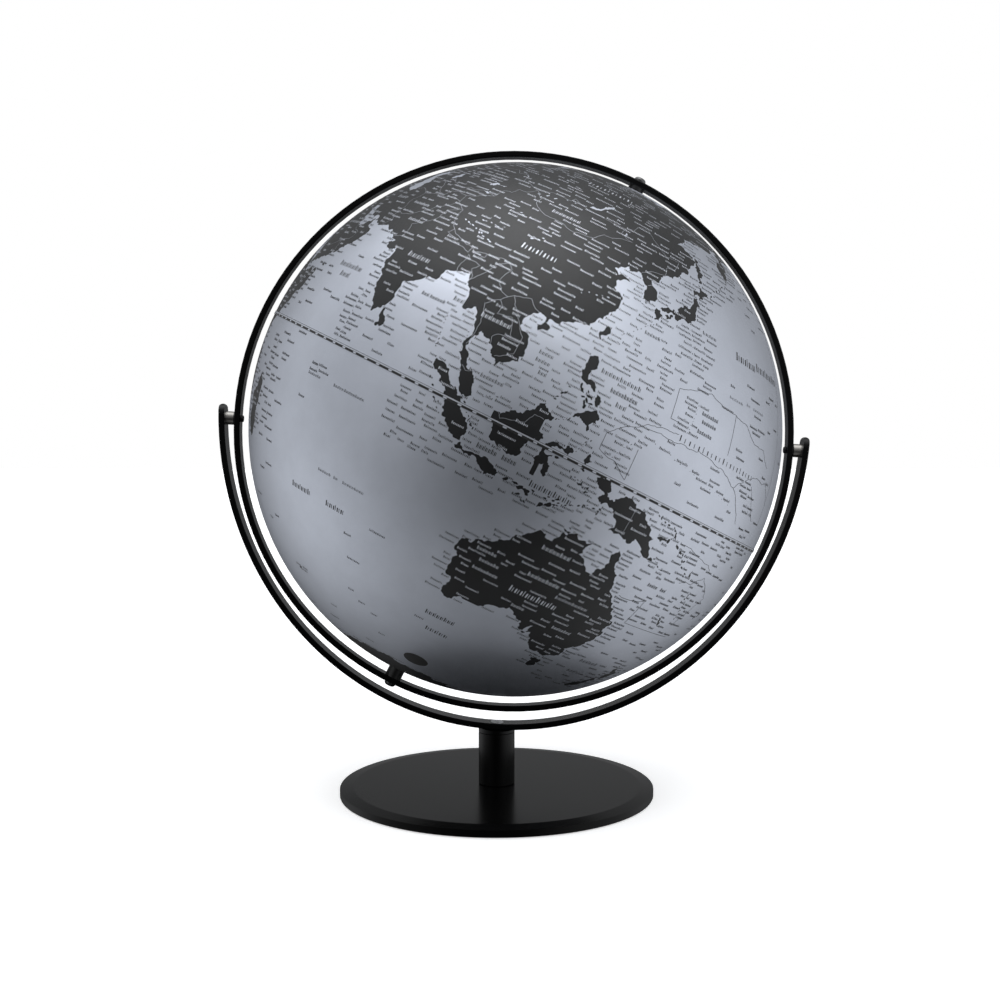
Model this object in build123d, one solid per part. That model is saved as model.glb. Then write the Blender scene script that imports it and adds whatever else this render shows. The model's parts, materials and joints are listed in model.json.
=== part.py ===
from build123d import *
import os
from math import cos, radians, sin

# Desktop globe on a stand.  Millimetres, +Z up, the front faces -Y.
# Origin: centre of the underside of the base, on the surface that it stands on.
# Three bodies: the stand, the ring that swings in the arm, the globe that spins in the ring.

os.makedirs("parts", exist_ok=True)

# ---- base and post ----
pad_radius = 85.0
pad_height = 1.0
pad_pocket_depth = 0.5
base_radius = 90.4
base_top = 5.5
base_rim_top = 4.5
base_bevel_width = 7.8
base_foot_round = 0.4
pad_clearance = 0.2
post_radius = 10.4
post_top = 35.9
post_chamfer = 0.4
saddle_top = 37.7

# ---- arm: a bent strip, half of an ellipse, leaning a little to the right ----
lean = 3.3
arm_thickness = 3.4
arm_width = 12.0
arm_inner_half_width = 165.0
arm_inner_half_height = 176.9
arm_centre_height = 10.4
arm_tip_height = 8.0
arm_edge_round = 0.5

# ---- swinging ring ----
ring_outer_radius = 159.5
ring_thickness = 3.4
ring_width = 9.5
ring_edge_round = 0.6
ring_inner_radius = ring_outer_radius - ring_thickness

# ---- pivots between the ring and the arm ----
pivot_shank_radius = 1.25
pivot_bore_radius = 1.30
pivot_head_radius = 1.9
pivot_head_height = 1.3
pivot_head_round = 0.4
pivot_socket_size = 0.85
pivot_socket_depth = 0.8
pivot_screw_end_inset = 0.9
pivot_spacer_radius = 3.8
pivot_washer_thickness = 0.5
running_gap = 0.1

# ---- polar axle and what is on it ----
polar_tilt = 23.2
axle_radius = 2.0
bearing_bore_radius = 2.05
bearing_boss_radius = 4.0
bearing_flange_radius = 8.0
bearing_flange_depth = 3.0
bearing_proud = 0.1
north_bush_radius = 4.5
south_bush_radius = 4.8
thrust_washer_thickness = 0.5
cap_nut_radius = 3.4
cap_nut_height = 2.3
cap_nut_skirt = 0.5
axle_past_ring = 1.1

# ---- globe ----
globe_radius = 150.0
shell_wall = 2.0
globe_offset = 1.5
hoop_half_height = 9.0
hoop_wall = 2.0
tape_half_height = 1.0
tape_thickness = 0.25

# ---- screws ----
arm_screw_radius = 2.0
arm_screw_head_radius = 3.75
arm_screw_head_rise = 0.5
arm_screw_head_round = 0.35
arm_screw_sink_radius = 3.85
arm_screw_length = 14.0
arm_screw_socket_size = 1.45
arm_screw_socket_depth = 1.3
base_screw_radius = 3.0
base_screw_head_radius = 6.0
base_screw_head_height = 3.0
base_screw_length = 16.0
base_screw_socket_size = 2.3
base_screw_socket_depth = 2.0

# ---- how far cutting shapes run past what they cut ----
cut_past = 10.0

# ---- worked-out places ----
arm_outer_half_width = arm_inner_half_width + arm_thickness
arm_outer_half_height = arm_inner_half_height + arm_thickness
arm_outer_bottom = arm_outer_half_height - arm_centre_height
arm_inner_bottom = arm_inner_half_height - arm_centre_height
ring_x = arm_outer_bottom * sin(radians(lean))
ring_z = saddle_top + arm_outer_bottom * cos(radians(lean))
shell_inner_radius = globe_radius - shell_wall

# The arm's own frame: its centre is the ring's centre, X runs along the pivots.
arm_frame = Location((ring_x, 0, ring_z), (0, lean, 0))
# The ring's frame: the same centre, Z runs along the polar axle.
polar_frame = Location((ring_x, 0, ring_z), (0, lean + polar_tilt, 0))
# The globe's frame: its centre is a little nearer the north end of the axle.
globe_frame = polar_frame * Location((0, 0, globe_offset))


def pivot_frame(side):
    """Frame at the ring's centre with Z pointing out along one pivot (side is -1 or 1)."""
    return arm_frame * Location((0, 0, 0), (0, side * 90, 0))


def post_axis(radius, bottom, top):
    """A round bar on the Z axis between two heights."""
    return Pos(0, 0, bottom) * Cylinder(radius, top - bottom, align=(Align.CENTER, Align.CENTER, Align.MIN))


def cone_on_axis(bottom_radius, top_radius, bottom, top):
    """A round taper on the Z axis between two heights."""
    height = top - bottom
    return Pos(0, 0, bottom) * Cone(
        bottom_radius, top_radius, height, align=(Align.CENTER, Align.CENTER, Align.MIN)
    )


def hex_bar(size, bottom, top):
    """A six-sided bar on the Z axis, for cutting the socket of a screw."""
    return Pos(0, 0, bottom) * extrude(RegularPolygon(size, 6), top - bottom)


# ------------------------------------------------------------------ stand

def make_base_pad():
    return post_axis(pad_radius, 0, pad_height)


def make_base_screw_on_axis():
    """Countersunk screw, head down, standing on the pad."""
    head_top = pad_height + base_screw_head_height
    head = cone_on_axis(base_screw_head_radius, base_screw_radius, pad_height, head_top)
    shank = post_axis(base_screw_radius, pad_height, pad_height + base_screw_length)
    return head + shank


def make_base_screw():
    socket = hex_bar(base_screw_socket_size, pad_height, pad_height + base_screw_socket_depth)
    return make_base_screw_on_axis() - socket


def make_base_plate():
    bottom = pad_height - pad_pocket_depth
    flat_radius = base_radius - base_bevel_width
    rim = post_axis(base_radius, bottom, base_rim_top)
    bevel = cone_on_axis(base_radius, flat_radius, base_rim_top, base_top)
    plate = rim + bevel
    plate = fillet(plate.edges().filter_by(GeomType.CIRCLE).group_by(Axis.Z)[0], base_foot_round)
    plate -= post_axis(pad_radius + pad_clearance, bottom, pad_height)
    return plate - make_base_screw_on_axis()


def make_post():
    post = post_axis(post_radius, base_top, post_top)
    post = chamfer(post.edges().filter_by(GeomType.CIRCLE), post_chamfer)
    return post - make_base_screw_on_axis() - arm_frame * arm_screw_on_axis()


def make_arm_saddle():
    """Disc between the post and the arm; its top is hollowed to the arm's curve."""
    saddle = post_axis(post_radius, post_top, saddle_top + cut_past)
    hollow = extrude(
        Plane.XZ * Pos(0, arm_centre_height) * Ellipse(arm_outer_half_width, arm_outer_half_height),
        2 * post_radius,
        both=True,
    )
    return saddle - arm_frame * hollow - arm_frame * arm_screw_on_axis()


def arm_screw_on_axis():
    """The raised countersunk arm screw without its socket, in the arm's frame, head up."""
    sunk = arm_screw_sink_radius - arm_screw_head_radius
    head_top = -arm_inner_bottom - sunk
    head_bottom = head_top - (arm_screw_head_radius - arm_screw_radius)
    head = cone_on_axis(arm_screw_radius, arm_screw_head_radius, head_bottom, head_top)
    raised = post_axis(arm_screw_head_radius, head_top, head_top + arm_screw_head_rise)
    raised = fillet(raised.edges().filter_by(GeomType.CIRCLE).group_by(Axis.Z)[-1], arm_screw_head_round)
    shank = post_axis(arm_screw_radius, head_top - arm_screw_length, head_top)
    return head + raised + shank


def make_arm_screw():
    sunk = arm_screw_sink_radius - arm_screw_head_radius
    top = arm_screw_head_rise - arm_inner_bottom - sunk
    socket = hex_bar(arm_screw_socket_size, top - arm_screw_socket_depth, top)
    return arm_frame * (arm_screw_on_axis() - socket)


def arm_strip():
    """The bent strip with softened edges and round ends, in the arm's frame."""
    outer = Ellipse(arm_outer_half_width, arm_outer_half_height)
    inner = Ellipse(arm_inner_half_width, arm_inner_half_height)
    hoop = extrude(Plane.XZ * Pos(0, arm_centre_height) * (outer - inner), arm_width / 2, both=True)
    hoop = fillet(hoop.edges().filter_by(GeomType.ELLIPSE), arm_edge_round)
    # Seen from the side, the strip runs up to a full round end above each pivot.
    half_width = arm_width / 2
    end_centre = arm_tip_height - half_width
    depth = arm_outer_bottom + cut_past
    side_view = Pos(0, end_centre) * Circle(half_width)
    side_view += Pos(0, end_centre - depth / 2) * Rectangle(arm_width, depth)
    envelope = extrude(Plane.YZ * side_view, arm_outer_half_width + cut_past, both=True)
    # Seen from the front, the end of each leg is round across the strip's thickness too.
    end_round = arm_thickness / 2
    leg_x = arm_inner_half_width + end_round
    round_top = arm_tip_height - end_round
    front_view = Pos(0, round_top - depth / 2) * Rectangle(2 * arm_outer_half_width + cut_past, depth)
    front_view += Pos(-leg_x, round_top) * Circle(end_round)
    front_view += Pos(leg_x, round_top) * Circle(end_round)
    return hoop & envelope & extrude(Plane.XZ * front_view, arm_width, both=True)


def make_arm():
    strip = arm_strip()
    sink_depth = arm_screw_sink_radius - arm_screw_radius
    strip -= cone_on_axis(
        arm_screw_radius, arm_screw_sink_radius, -arm_inner_bottom - sink_depth, -arm_inner_bottom
    )
    strip -= post_axis(arm_screw_sink_radius, -arm_inner_bottom, -arm_inner_bottom + arm_screw_head_rise)
    strip -= post_axis(arm_screw_radius, -arm_outer_bottom - cut_past, -arm_inner_bottom)
    strip -= Rot(0, 90, 0) * Cylinder(pivot_shank_radius, 2 * arm_outer_half_width + cut_past)
    return arm_frame * strip


def make_pivot_washer(side):
    inner = ring_outer_radius + running_gap
    washer = post_axis(pivot_spacer_radius, inner, inner + pivot_washer_thickness)
    washer -= post_axis(pivot_shank_radius, inner, inner + pivot_washer_thickness)
    return pivot_frame(side) * washer


def make_pivot_spacer(side):
    """Aluminium tube between the washer and the arm, its outer end shaped to the arm."""
    inner = ring_outer_radius + running_gap + pivot_washer_thickness
    tube = post_axis(pivot_spacer_radius, inner, arm_outer_half_width)
    tube -= post_axis(pivot_shank_radius, inner, arm_outer_half_width)
    inside_of_arm = extrude(
        Plane.XZ * Pos(0, arm_centre_height) * Ellipse(arm_inner_half_width, arm_inner_half_height),
        arm_width,
        both=True,
    )
    return pivot_frame(side) * tube & arm_frame * inside_of_arm


def make_pivot_screw(side):
    """Small screw, head inside the ring; the ring turns on its plain shank."""
    head_top = ring_inner_radius - running_gap
    head_bottom = head_top - pivot_head_height
    screw_end = arm_outer_half_width - pivot_screw_end_inset
    head = post_axis(pivot_head_radius, head_bottom, head_top)
    head = fillet(head.edges().filter_by(GeomType.CIRCLE).group_by(Axis.Z)[0], pivot_head_round)
    shank = post_axis(pivot_shank_radius, head_top, screw_end)
    socket = hex_bar(pivot_socket_size, head_bottom, head_bottom + pivot_socket_depth)
    return pivot_frame(side) * (head + shank - socket)


# ------------------------------------------------------------------ ring

def ring_band():
    """The plain ring in its own frame, with softened edges."""
    band = Cylinder(ring_outer_radius, ring_width) - Cylinder(ring_inner_radius, ring_width)
    band = fillet(band.edges().filter_by(GeomType.CIRCLE), ring_edge_round)
    return Rot(90, 0, 0) * band


def make_meridian_ring():
    ring = polar_frame * ring_band()
    ring -= polar_frame * Cylinder(axle_radius, 2 * ring_outer_radius + cut_past)
    ring -= pivot_frame(1) * Cylinder(pivot_bore_radius, 2 * ring_outer_radius + cut_past)
    return ring


def make_axle_rod():
    return polar_frame * Cylinder(axle_radius, 2 * (ring_outer_radius + axle_past_ring))


def pole_frame(pole):
    """Ring frame for the north (1) or south (-1) end, with Z pointing out of the ring."""
    flip = 0 if pole > 0 else 180
    return polar_frame * Location((0, 0, 0), (flip, 0, 0))


def bearing_face(pole):
    """Distance from the ring's centre to the outer face of a pole bearing."""
    return globe_radius + pole * globe_offset + bearing_proud


def make_thrust_washer(pole, radius):
    inner = bearing_face(pole) + running_gap
    outer = inner + thrust_washer_thickness
    return pole_frame(pole) * (post_axis(radius, inner, outer) - post_axis(axle_radius, inner, outer))


def make_bush(pole, radius):
    """Sleeve from the thrust washer to the ring, its outer end shaped to the ring."""
    inner = bearing_face(pole) + running_gap + thrust_washer_thickness
    sleeve = post_axis(radius, inner, ring_outer_radius) - post_axis(axle_radius, inner, ring_outer_radius)
    inside_of_ring = Rot(90, 0, 0) * Cylinder(ring_inner_radius, 4 * radius)
    return pole_frame(pole) * (sleeve & inside_of_ring)


def make_cap_nut(pole):
    """Low dome on the outside of the ring that holds the end of the axle."""
    base = ring_outer_radius - cap_nut_skirt
    top = ring_outer_radius + cap_nut_height
    nut = post_axis(cap_nut_radius, base, top)
    nut = fillet(nut.edges().filter_by(GeomType.CIRCLE).group_by(Axis.Z)[-1], cap_nut_height - cap_nut_skirt)
    nut -= Rot(90, 0, 0) * Cylinder(ring_outer_radius, 4 * cap_nut_radius)
    nut -= post_axis(axle_radius, base, ring_outer_radius + axle_past_ring)
    return pole_frame(pole) * nut


# ------------------------------------------------------------------ globe

def shell_of(outer_radius, inner_radius, low, high):
    """The slice of a hollow ball between two heights."""
    slab = Pos(0, 0, (low + high) / 2) * Box(3 * outer_radius, 3 * outer_radius, high - low)
    return (Sphere(outer_radius) - Sphere(inner_radius)) & slab


def make_hemisphere(pole):
    half = shell_of(globe_radius, shell_inner_radius, 0, globe_radius + cut_past)
    half -= post_axis(bearing_boss_radius, 0, globe_radius + cut_past)
    flip = 0 if pole > 0 else 180
    return globe_frame * Rot(flip, 0, 0) * half


def make_pole_bearing(pole):
    """Flanged plastic bush: the flange sits inside the shell, the boss fills its hole."""
    inner_end = shell_inner_radius - bearing_flange_depth
    boss = post_axis(bearing_boss_radius, inner_end, globe_radius + bearing_proud)
    flange = post_axis(bearing_flange_radius, inner_end, shell_inner_radius)
    flange = flange & Sphere(shell_inner_radius)
    bearing = boss + flange
    bearing -= post_axis(bearing_bore_radius, 0, globe_radius + cut_past)
    flip = 0 if pole > 0 else 180
    return globe_frame * Rot(flip, 0, 0) * bearing


def make_joining_hoop():
    """Band glued inside the two halves of the ball, across their joint."""
    hoop = shell_of(shell_inner_radius, shell_inner_radius - hoop_wall, -hoop_half_height, hoop_half_height)
    return globe_frame * hoop


def make_equator_tape():
    """Printed tape over the joint of the two halves."""
    tape = shell_of(globe_radius + tape_thickness, globe_radius, -tape_half_height, tape_half_height)
    return globe_frame * tape


# ------------------------------------------------------------------ all parts

def all_parts():
    parts = {
        "base_pad": make_base_pad(),
        "base_plate": make_base_plate(),
        "base_screw": make_base_screw(),
        "post": make_post(),
        "arm_saddle": make_arm_saddle(),
        "arm": make_arm(),
        "arm_screw": make_arm_screw(),
        "meridian_ring": make_meridian_ring(),
        "axle_rod": make_axle_rod(),
        "north_bush": make_bush(1, north_bush_radius),
        "south_bush": make_bush(-1, south_bush_radius),
        "north_thrust_washer": make_thrust_washer(1, north_bush_radius),
        "south_thrust_washer": make_thrust_washer(-1, south_bush_radius),
        "equator_joining_hoop": make_joining_hoop(),
        "equator_tape": make_equator_tape(),
    }
    for name, side in (("left", -1), ("right", 1)):
        parts["pivot_spacer_" + name] = make_pivot_spacer(side)
        parts["pivot_washer_" + name] = make_pivot_washer(side)
        parts["pivot_screw_" + name] = make_pivot_screw(side)
    for name, pole in (("north", 1), ("south", -1)):
        parts[name + "_hemisphere"] = make_hemisphere(pole)
        parts[name + "_pole_bearing"] = make_pole_bearing(pole)
        parts[name + "_cap_nut"] = make_cap_nut(pole)
    return parts


for part_name, shape in all_parts().items():
    export_step(shape, "parts/" + part_name + ".step")
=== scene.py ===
import json
import math
import random

import bpy
import numpy as np
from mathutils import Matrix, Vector, geometry, kdtree


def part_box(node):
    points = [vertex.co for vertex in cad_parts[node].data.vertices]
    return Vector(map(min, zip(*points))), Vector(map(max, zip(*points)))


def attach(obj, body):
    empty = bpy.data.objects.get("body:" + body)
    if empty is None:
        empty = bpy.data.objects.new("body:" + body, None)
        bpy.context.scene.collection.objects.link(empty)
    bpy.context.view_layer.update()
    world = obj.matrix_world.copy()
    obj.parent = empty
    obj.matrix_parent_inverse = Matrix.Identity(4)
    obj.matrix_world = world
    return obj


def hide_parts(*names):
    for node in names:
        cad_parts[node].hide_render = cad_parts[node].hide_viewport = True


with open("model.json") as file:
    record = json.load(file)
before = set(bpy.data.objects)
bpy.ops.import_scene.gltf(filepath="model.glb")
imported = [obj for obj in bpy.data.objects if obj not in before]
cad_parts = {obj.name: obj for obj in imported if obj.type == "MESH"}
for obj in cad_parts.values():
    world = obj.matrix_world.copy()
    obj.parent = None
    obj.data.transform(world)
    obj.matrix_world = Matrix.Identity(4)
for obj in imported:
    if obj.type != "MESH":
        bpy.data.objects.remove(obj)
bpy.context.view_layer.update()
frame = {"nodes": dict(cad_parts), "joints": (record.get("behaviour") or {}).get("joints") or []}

# ---------------------------------------------------------------- places worked out from the frame
JOINTS = {joint["name"]: joint for joint in frame["joints"]}
BALL_CENTRE = np.array(JOINTS["globe_spin"]["pos_m"])
POLE = np.array(JOINTS["globe_spin"]["axis"])
TAPE_LOW, TAPE_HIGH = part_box("equator_tape")
TAPE_RADIUS = (TAPE_HIGH.y - TAPE_LOW.y) / 2
SHELL_LOW, SHELL_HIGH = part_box("north_hemisphere")
BALL_RADIUS = (SHELL_HIGH.y - SHELL_LOW.y) / 2
SHELL_WALL = 0.002
POLE_HOLE = 0.004
TAPE_HALF = 0.001

# The longitude that faces the front when the ball is at rest.
FRONT_LONGITUDE = 114.7
# The ball's own axes, as columns: to the right along the equator, away to the back, and north.
BALL_AXES = np.column_stack([np.cross([0.0, 1.0, 0.0], POLE), [0.0, 1.0, 0.0], POLE])


def on_ball(longitude, latitude, lift=0.0):
    """Points of the ball's surface in the row frame, for arrays of degrees."""
    turn = np.radians(np.asarray(longitude, float) - FRONT_LONGITUDE)
    rise = np.radians(np.asarray(latitude, float))
    local = np.stack([np.cos(rise) * np.sin(turn), -np.cos(rise) * np.cos(turn), np.sin(rise)], axis=-1)
    return BALL_CENTRE + (BALL_RADIUS + lift) * (local @ BALL_AXES.T)


# ---------------------------------------------------------------- the map: outlines in degrees (east, north)
LAND = {
    "eurasia": [
        (32.5, 30), (34.2, 27.8), (34.9, 29.5), (35.2, 28), (36.6, 25.8), (38.5, 23.5), (39.1, 21.5),
        (41, 19), (42.5, 16.8), (43.3, 12.7), (45, 12.8), (48.5, 14), (52.2, 15.6), (55.2, 17.5),
        (57.7, 19), (58.7, 20.5), (59.8, 22.5), (58.6, 23.6), (57, 24.2), (56.4, 26.3), (56, 25.3),
        (54.4, 24.2), (51.6, 24.3), (51.4, 25.9), (50.8, 24.9), (50.1, 26.7), (48.6, 28.4), (48, 29.9),
        (50.2, 30), (51.2, 28), (52.6, 27.3), (54.8, 26.5), (56.9, 27.1), (57.3, 25.8), (59, 25.4),
        (61.6, 25.1), (64.6, 25.2), (66.6, 25), (67.4, 23.9), (68.8, 23.1), (70.3, 22.9), (69, 22.2),
        (70.9, 20.7), (72.2, 21.2), (72.4, 22.2), (72.8, 20.8), (72.8, 19), (73.4, 16), (74.5, 14.2),
        (75, 12.5), (76.3, 9.9), (77.5, 8.1), (78.2, 8.9), (79, 9.3), (79.9, 10.4), (80.2, 13),
        (80.1, 15.2), (81.3, 16.3), (82.3, 16.8), (84.2, 18.4), (86.5, 20.1), (87, 21.4), (88.2, 21.7),
        (90.5, 22.2), (91.8, 22.5), (92.3, 20.8), (94.3, 18.5), (94.3, 16), (95.4, 15.8), (96.8, 17.1),
        (97.6, 16.2), (98.1, 14), (98.7, 11.5), (98.3, 8.3), (99.7, 6.5), (100.4, 5.5), (100.6, 4),
        (101.4, 2.8), (103.5, 1.6), (104.2, 2.2), (103.5, 3.8), (103.3, 4.9), (102.2, 6.2), (100.9, 7),
        (100.3, 8.5), (99.3, 9.3), (99.2, 10.5), (100, 12.5), (100.1, 13.5), (101, 12.8), (102.6, 12),
        (103.6, 10.6), (104.9, 10), (105, 8.7), (106.7, 10.2), (108.9, 11.4), (109.2, 13), (108.6, 15.8),
        (107.2, 16.9), (105.9, 18.7), (106.7, 20.2), (108.1, 21.6), (109.7, 21.5), (110, 20.3),
        (110.5, 21.3), (113.2, 22), (114.3, 22.5), (116.8, 23.2), (118.3, 24.5), (119.8, 26), (121, 28.2),
        (121.9, 29.8), (121.9, 31.2), (120.8, 33), (119.3, 35), (120.5, 36), (122.7, 36.6), (121, 37.2),
        (119.1, 36.8), (117.9, 38), (119, 38.9), (121, 40.2), (121.3, 38.9), (122.6, 39.4), (124.4, 39.9),
        (125.1, 38.4), (126.6, 37.4), (126.3, 36), (126.4, 34.2), (128, 34.5), (129.3, 35), (129.5, 36.9),
        (127.5, 39.5), (129.7, 41), (130.8, 42.3), (133.2, 42.8), (135.6, 44.5), (138.5, 47), (140.4, 50),
        (141.3, 53), (138, 54), (135.3, 54.6), (138.5, 56.5), (142.5, 58.8), (149, 59.4), (154.5, 59.4),
        (157, 61.4), (160.3, 61.6), (163.6, 62.4), (161.5, 60), (157, 57.6), (155.6, 55), (156.3, 50.8),
        (158.5, 52.9), (160, 54.8), (162, 56.2), (163.2, 58), (163.4, 59.6), (166.2, 60.2), (170.3, 60),
        (172.8, 61.4), (177, 62.5), (179.4, 62.5), (181, 64.6), (187, 64.3), (190.3, 66), (185, 67.2),
        (180, 69), (175.7, 69.8), (170.5, 70.1), (170, 68.8), (161, 69.5), (159, 70.9), (152, 70.9),
        (149.5, 72.2), (140, 72.6), (135, 71.6), (130, 71), (129, 72.8), (123, 73.2), (113.5, 73.6),
        (107, 73.2), (110, 75.6), (113.2, 75.9), (104.5, 77.7), (98, 76.2), (87, 75.1), (80.6, 73.6),
        (80.5, 72.2), (75, 72.8), (73.2, 71.4), (74.2, 69), (73.5, 67.6), (71.2, 66.4), (72.3, 69),
        (72.6, 71), (70, 73.2), (67, 71.3), (66.8, 69.5), (68.5, 68.2), (65, 69.2), (60.5, 69.8),
        (60, 68.4), (54.5, 68.3), (48.5, 67.6), (46.5, 66.9), (44.2, 66.2), (43.3, 68.6), (41, 66.5),
        (40, 64.6), (37.5, 63.9), (34.8, 64.5), (32.5, 67), (36, 66.4), (41, 66.7), (40.5, 67.7), (36, 69),
        (31, 69.8), (28, 71), (23.5, 70.8), (18.5, 69.6), (14.3, 68.2), (12.5, 65.8), (10, 63.8), (5.2, 62),
        (5, 60), (5.6, 58.7), (8, 58.1), (10.6, 59.3), (11.4, 58.5), (12.8, 56), (14.3, 55.5), (16.3, 56.8),
        (16.8, 58.7), (18.9, 60), (17.2, 61.7), (19.5, 63.4), (22, 65.5), (25.2, 65.4), (21.3, 63),
        (21.4, 60.9), (23, 59.9), (28, 60.4), (30, 59.9), (28, 59.5), (23.6, 59.2), (24.4, 58.3),
        (22, 57.5), (21.1, 56.6), (20.9, 55.3), (19.5, 54.4), (18.5, 54.8), (14.2, 53.9), (11, 54),
        (10, 54.8), (10.5, 57.6), (8.2, 56.8), (8.6, 54.4), (7, 53.6), (4.6, 52.6), (3.6, 51.4),
        (1.6, 50.7), (0.1, 49.6), (-1.3, 49.6), (-1.6, 48.7), (-4.7, 48.4), (-2.3, 47.2), (-1.2, 45.5),
        (-1.5, 43.5), (-4.5, 43.4), (-9.2, 43.1), (-8.8, 40.8), (-9.5, 38.7), (-8.9, 37), (-6.4, 36.8),
        (-5.5, 36.1), (-2.1, 36.8), (-0.3, 38.5), (0.2, 40), (3.2, 41.9), (3.1, 43.2), (5, 43.4),
        (7.5, 43.8), (8.8, 44.4), (10.2, 43.8), (12.3, 41.8), (15.6, 40.1), (15.7, 38), (17.1, 39),
        (16.9, 40.4), (18.5, 40.2), (16, 41.9), (14.1, 42.5), (12.5, 44.2), (12.4, 45.4), (13.7, 45.5),
        (15.3, 44), (19.4, 41.9), (19.4, 40.5), (21.1, 38.4), (21.8, 36.8), (23, 36.5), (24, 37.9),
        (22.8, 39.3), (23.8, 40.2), (26, 40.8), (29, 41.2), (28, 42.5), (28.7, 44), (30.8, 46.5),
        (33.3, 46), (32.6, 45.4), (33.9, 44.4), (36.5, 45.3), (35, 46.4), (39.2, 47.2), (37.5, 45.6),
        (38.5, 44.4), (41.5, 42), (38, 41), (35, 42), (31.4, 41.3), (29.2, 41), (26.2, 39.5), (26.4, 38),
        (27.3, 36.8), (30.6, 36.7), (32.6, 36), (36, 36.6), (35.8, 34.7), (34.9, 32.7), (34.2, 31.3),
        (32.5, 31.2),
    ],
    "africa": [
        (32.3, 31.2), (29.9, 31.1), (25, 31.6), (20.1, 32.5), (18.5, 30.4), (15.2, 32.3), (11, 33.3),
        (10.3, 34.3), (11, 36.9), (9.8, 37.3), (5, 36.8), (0, 35.9), (-2, 35.1), (-5.3, 35.8), (-6.2, 35),
        (-8.6, 33.2), (-9.8, 31.4), (-9.7, 29.8), (-12.9, 27.9), (-15, 25.8), (-17, 21.5), (-16.3, 19.5),
        (-16.5, 16), (-17.4, 14.7), (-16.8, 12.5), (-15, 10.8), (-13.3, 8.8), (-11.5, 6.9), (-7.6, 4.4),
        (-4, 5.2), (-2, 4.8), (1.2, 6.1), (4.4, 6.3), (6, 4.3), (8.6, 4.7), (9.6, 3.8), (9.6, 1),
        (8.8, -0.7), (11.1, -3.9), (12.2, -6), (13.4, -8.7), (12.6, -13), (11.8, -16), (12.5, -18.5),
        (14.5, -22.8), (15.3, -27), (17.3, -30), (18.3, -33.9), (20, -34.8), (22.5, -34), (25.7, -34),
        (28.5, -32.6), (31, -30), (32.7, -27.5), (32.6, -25.9), (35.4, -24), (35.5, -22), (34.7, -20),
        (37, -17.8), (40.6, -15), (40.6, -10.8), (39.4, -7.5), (38.8, -6), (39.8, -3.8), (42, -0.9),
        (45.5, 2.3), (48.5, 5.8), (50.8, 9.2), (51.3, 11.8), (48.5, 11.3), (44.5, 10.5), (43.2, 11.6),
        (43, 12.8), (39.6, 15.2), (37.3, 18.8), (37.2, 21), (35.5, 23.9), (33.8, 27), (32.6, 29.9),
    ],
    "madagascar": [
        (49.3, -12), (50.5, -15.7), (49, -19), (47.2, -24.9), (45.3, -25.5), (43.4, -22.5), (44.5, -19.5),
        (44.3, -16.3), (47, -15.2),
    ],
    "sri_lanka": [(79.8, 9.5), (80.3, 9.7), (81.8, 7.6), (81.3, 6.2), (80.1, 6), (79.8, 8)],
    "sumatra": [
        (95.3, 5.6), (97.5, 5.2), (98.8, 3.7), (100.6, 2.2), (103, 0.5), (103.8, -1.1), (106, -3),
        (105.8, -5.8), (104.5, -5.8), (102.3, -4), (100.4, -1.2), (98.8, 1.6), (97, 3.3),
    ],
    "java": [
        (105.2, -6.8), (106.2, -5.95), (108.4, -6.7), (110.9, -6.4), (112.7, -6.9), (114.5, -7.9),
        (114.4, -8.7), (110.5, -8.1), (107.5, -7.6),
    ],
    "borneo": [
        (109, 1.8), (110.3, 1.7), (111.3, 2.6), (113, 3.2), (115.2, 5), (116.8, 7), (119.2, 5.2),
        (117.8, 3.8), (117.8, 2), (119, 1), (117.2, 0.2), (116.5, -1.5), (116.2, -3.7), (114.6, -4.1),
        (111.8, -3.4), (110.2, -2.8), (109.9, -1.2), (109, 0.3),
    ],
    "sulawesi": [
        (119.6, -0.7), (119.8, 0.6), (120.8, 1.5), (123, 1.2), (124.6, 1.9), (125, 1.5), (124.2, 0.4),
        (121, 0.5), (120.2, -0.9), (121.3, -1), (123.3, -0.7), (121.5, -1.9), (122.3, -3.3), (122.7, -4.5),
        (121.5, -4.6), (121, -2.8), (120.4, -3.1), (120.4, -5.5), (119.5, -5.4), (119.5, -3.5),
        (118.9, -2.7),
    ],
    "halmahera": [
        (127.4, -0.8), (127.3, 0.9), (127.8, 2.6), (128.3, 1.4), (128.9, 1.3), (128, 0.6), (128.4, -0.9),
    ],
    "new_guinea": [
        (131, -0.8), (132.5, -0.4), (134.1, -0.9), (134.2, -2.4), (135.2, -3.4), (137.8, -1.5), (141, -2.6),
        (144.5, -3.9), (146.4, -5.7), (147.8, -6.3), (147.2, -7.2), (148.6, -9), (150.6, -10.4),
        (148, -10.2), (146.4, -8.8), (144.2, -7.7), (143, -9.2), (140.5, -8.2), (138, -8.4), (138.6, -6.6),
        (135.5, -4.4), (132.9, -4), (133.8, -2.9), (132.2, -2.3), (131.2, -1.5),
    ],
    "new_britain": [(148.4, -5.7), (151, -5.4), (152.2, -4.3), (151.4, -6), (149.5, -6.3)],
    "new_ireland": [(150.9, -2.6), (152.3, -3.4), (153, -4.8), (152, -3.7)],
    "luzon": [
        (120.6, 18.5), (122.2, 18.4), (121.6, 16), (121.8, 14.2), (124, 12.8), (122.5, 13.5), (120.7, 13.8),
        (120, 15.5), (120.4, 17),
    ],
    "mindanao": [
        (122, 7), (123.6, 8.6), (125.5, 9.8), (126.4, 7.5), (125.4, 5.7), (124.2, 6.8), (123.2, 7.6),
    ],
    "samar": [(124.4, 12.5), (125.4, 12.2), (125.7, 11), (125, 10.1), (124.5, 11.2)],
    "taiwan": [(120.1, 23), (121, 25.1), (122, 25), (121.3, 23.2), (120.8, 22)],
    "hainan": [(108.7, 19.3), (109.7, 20.1), (111, 20), (110.5, 18.8), (109.5, 18.2)],
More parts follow.
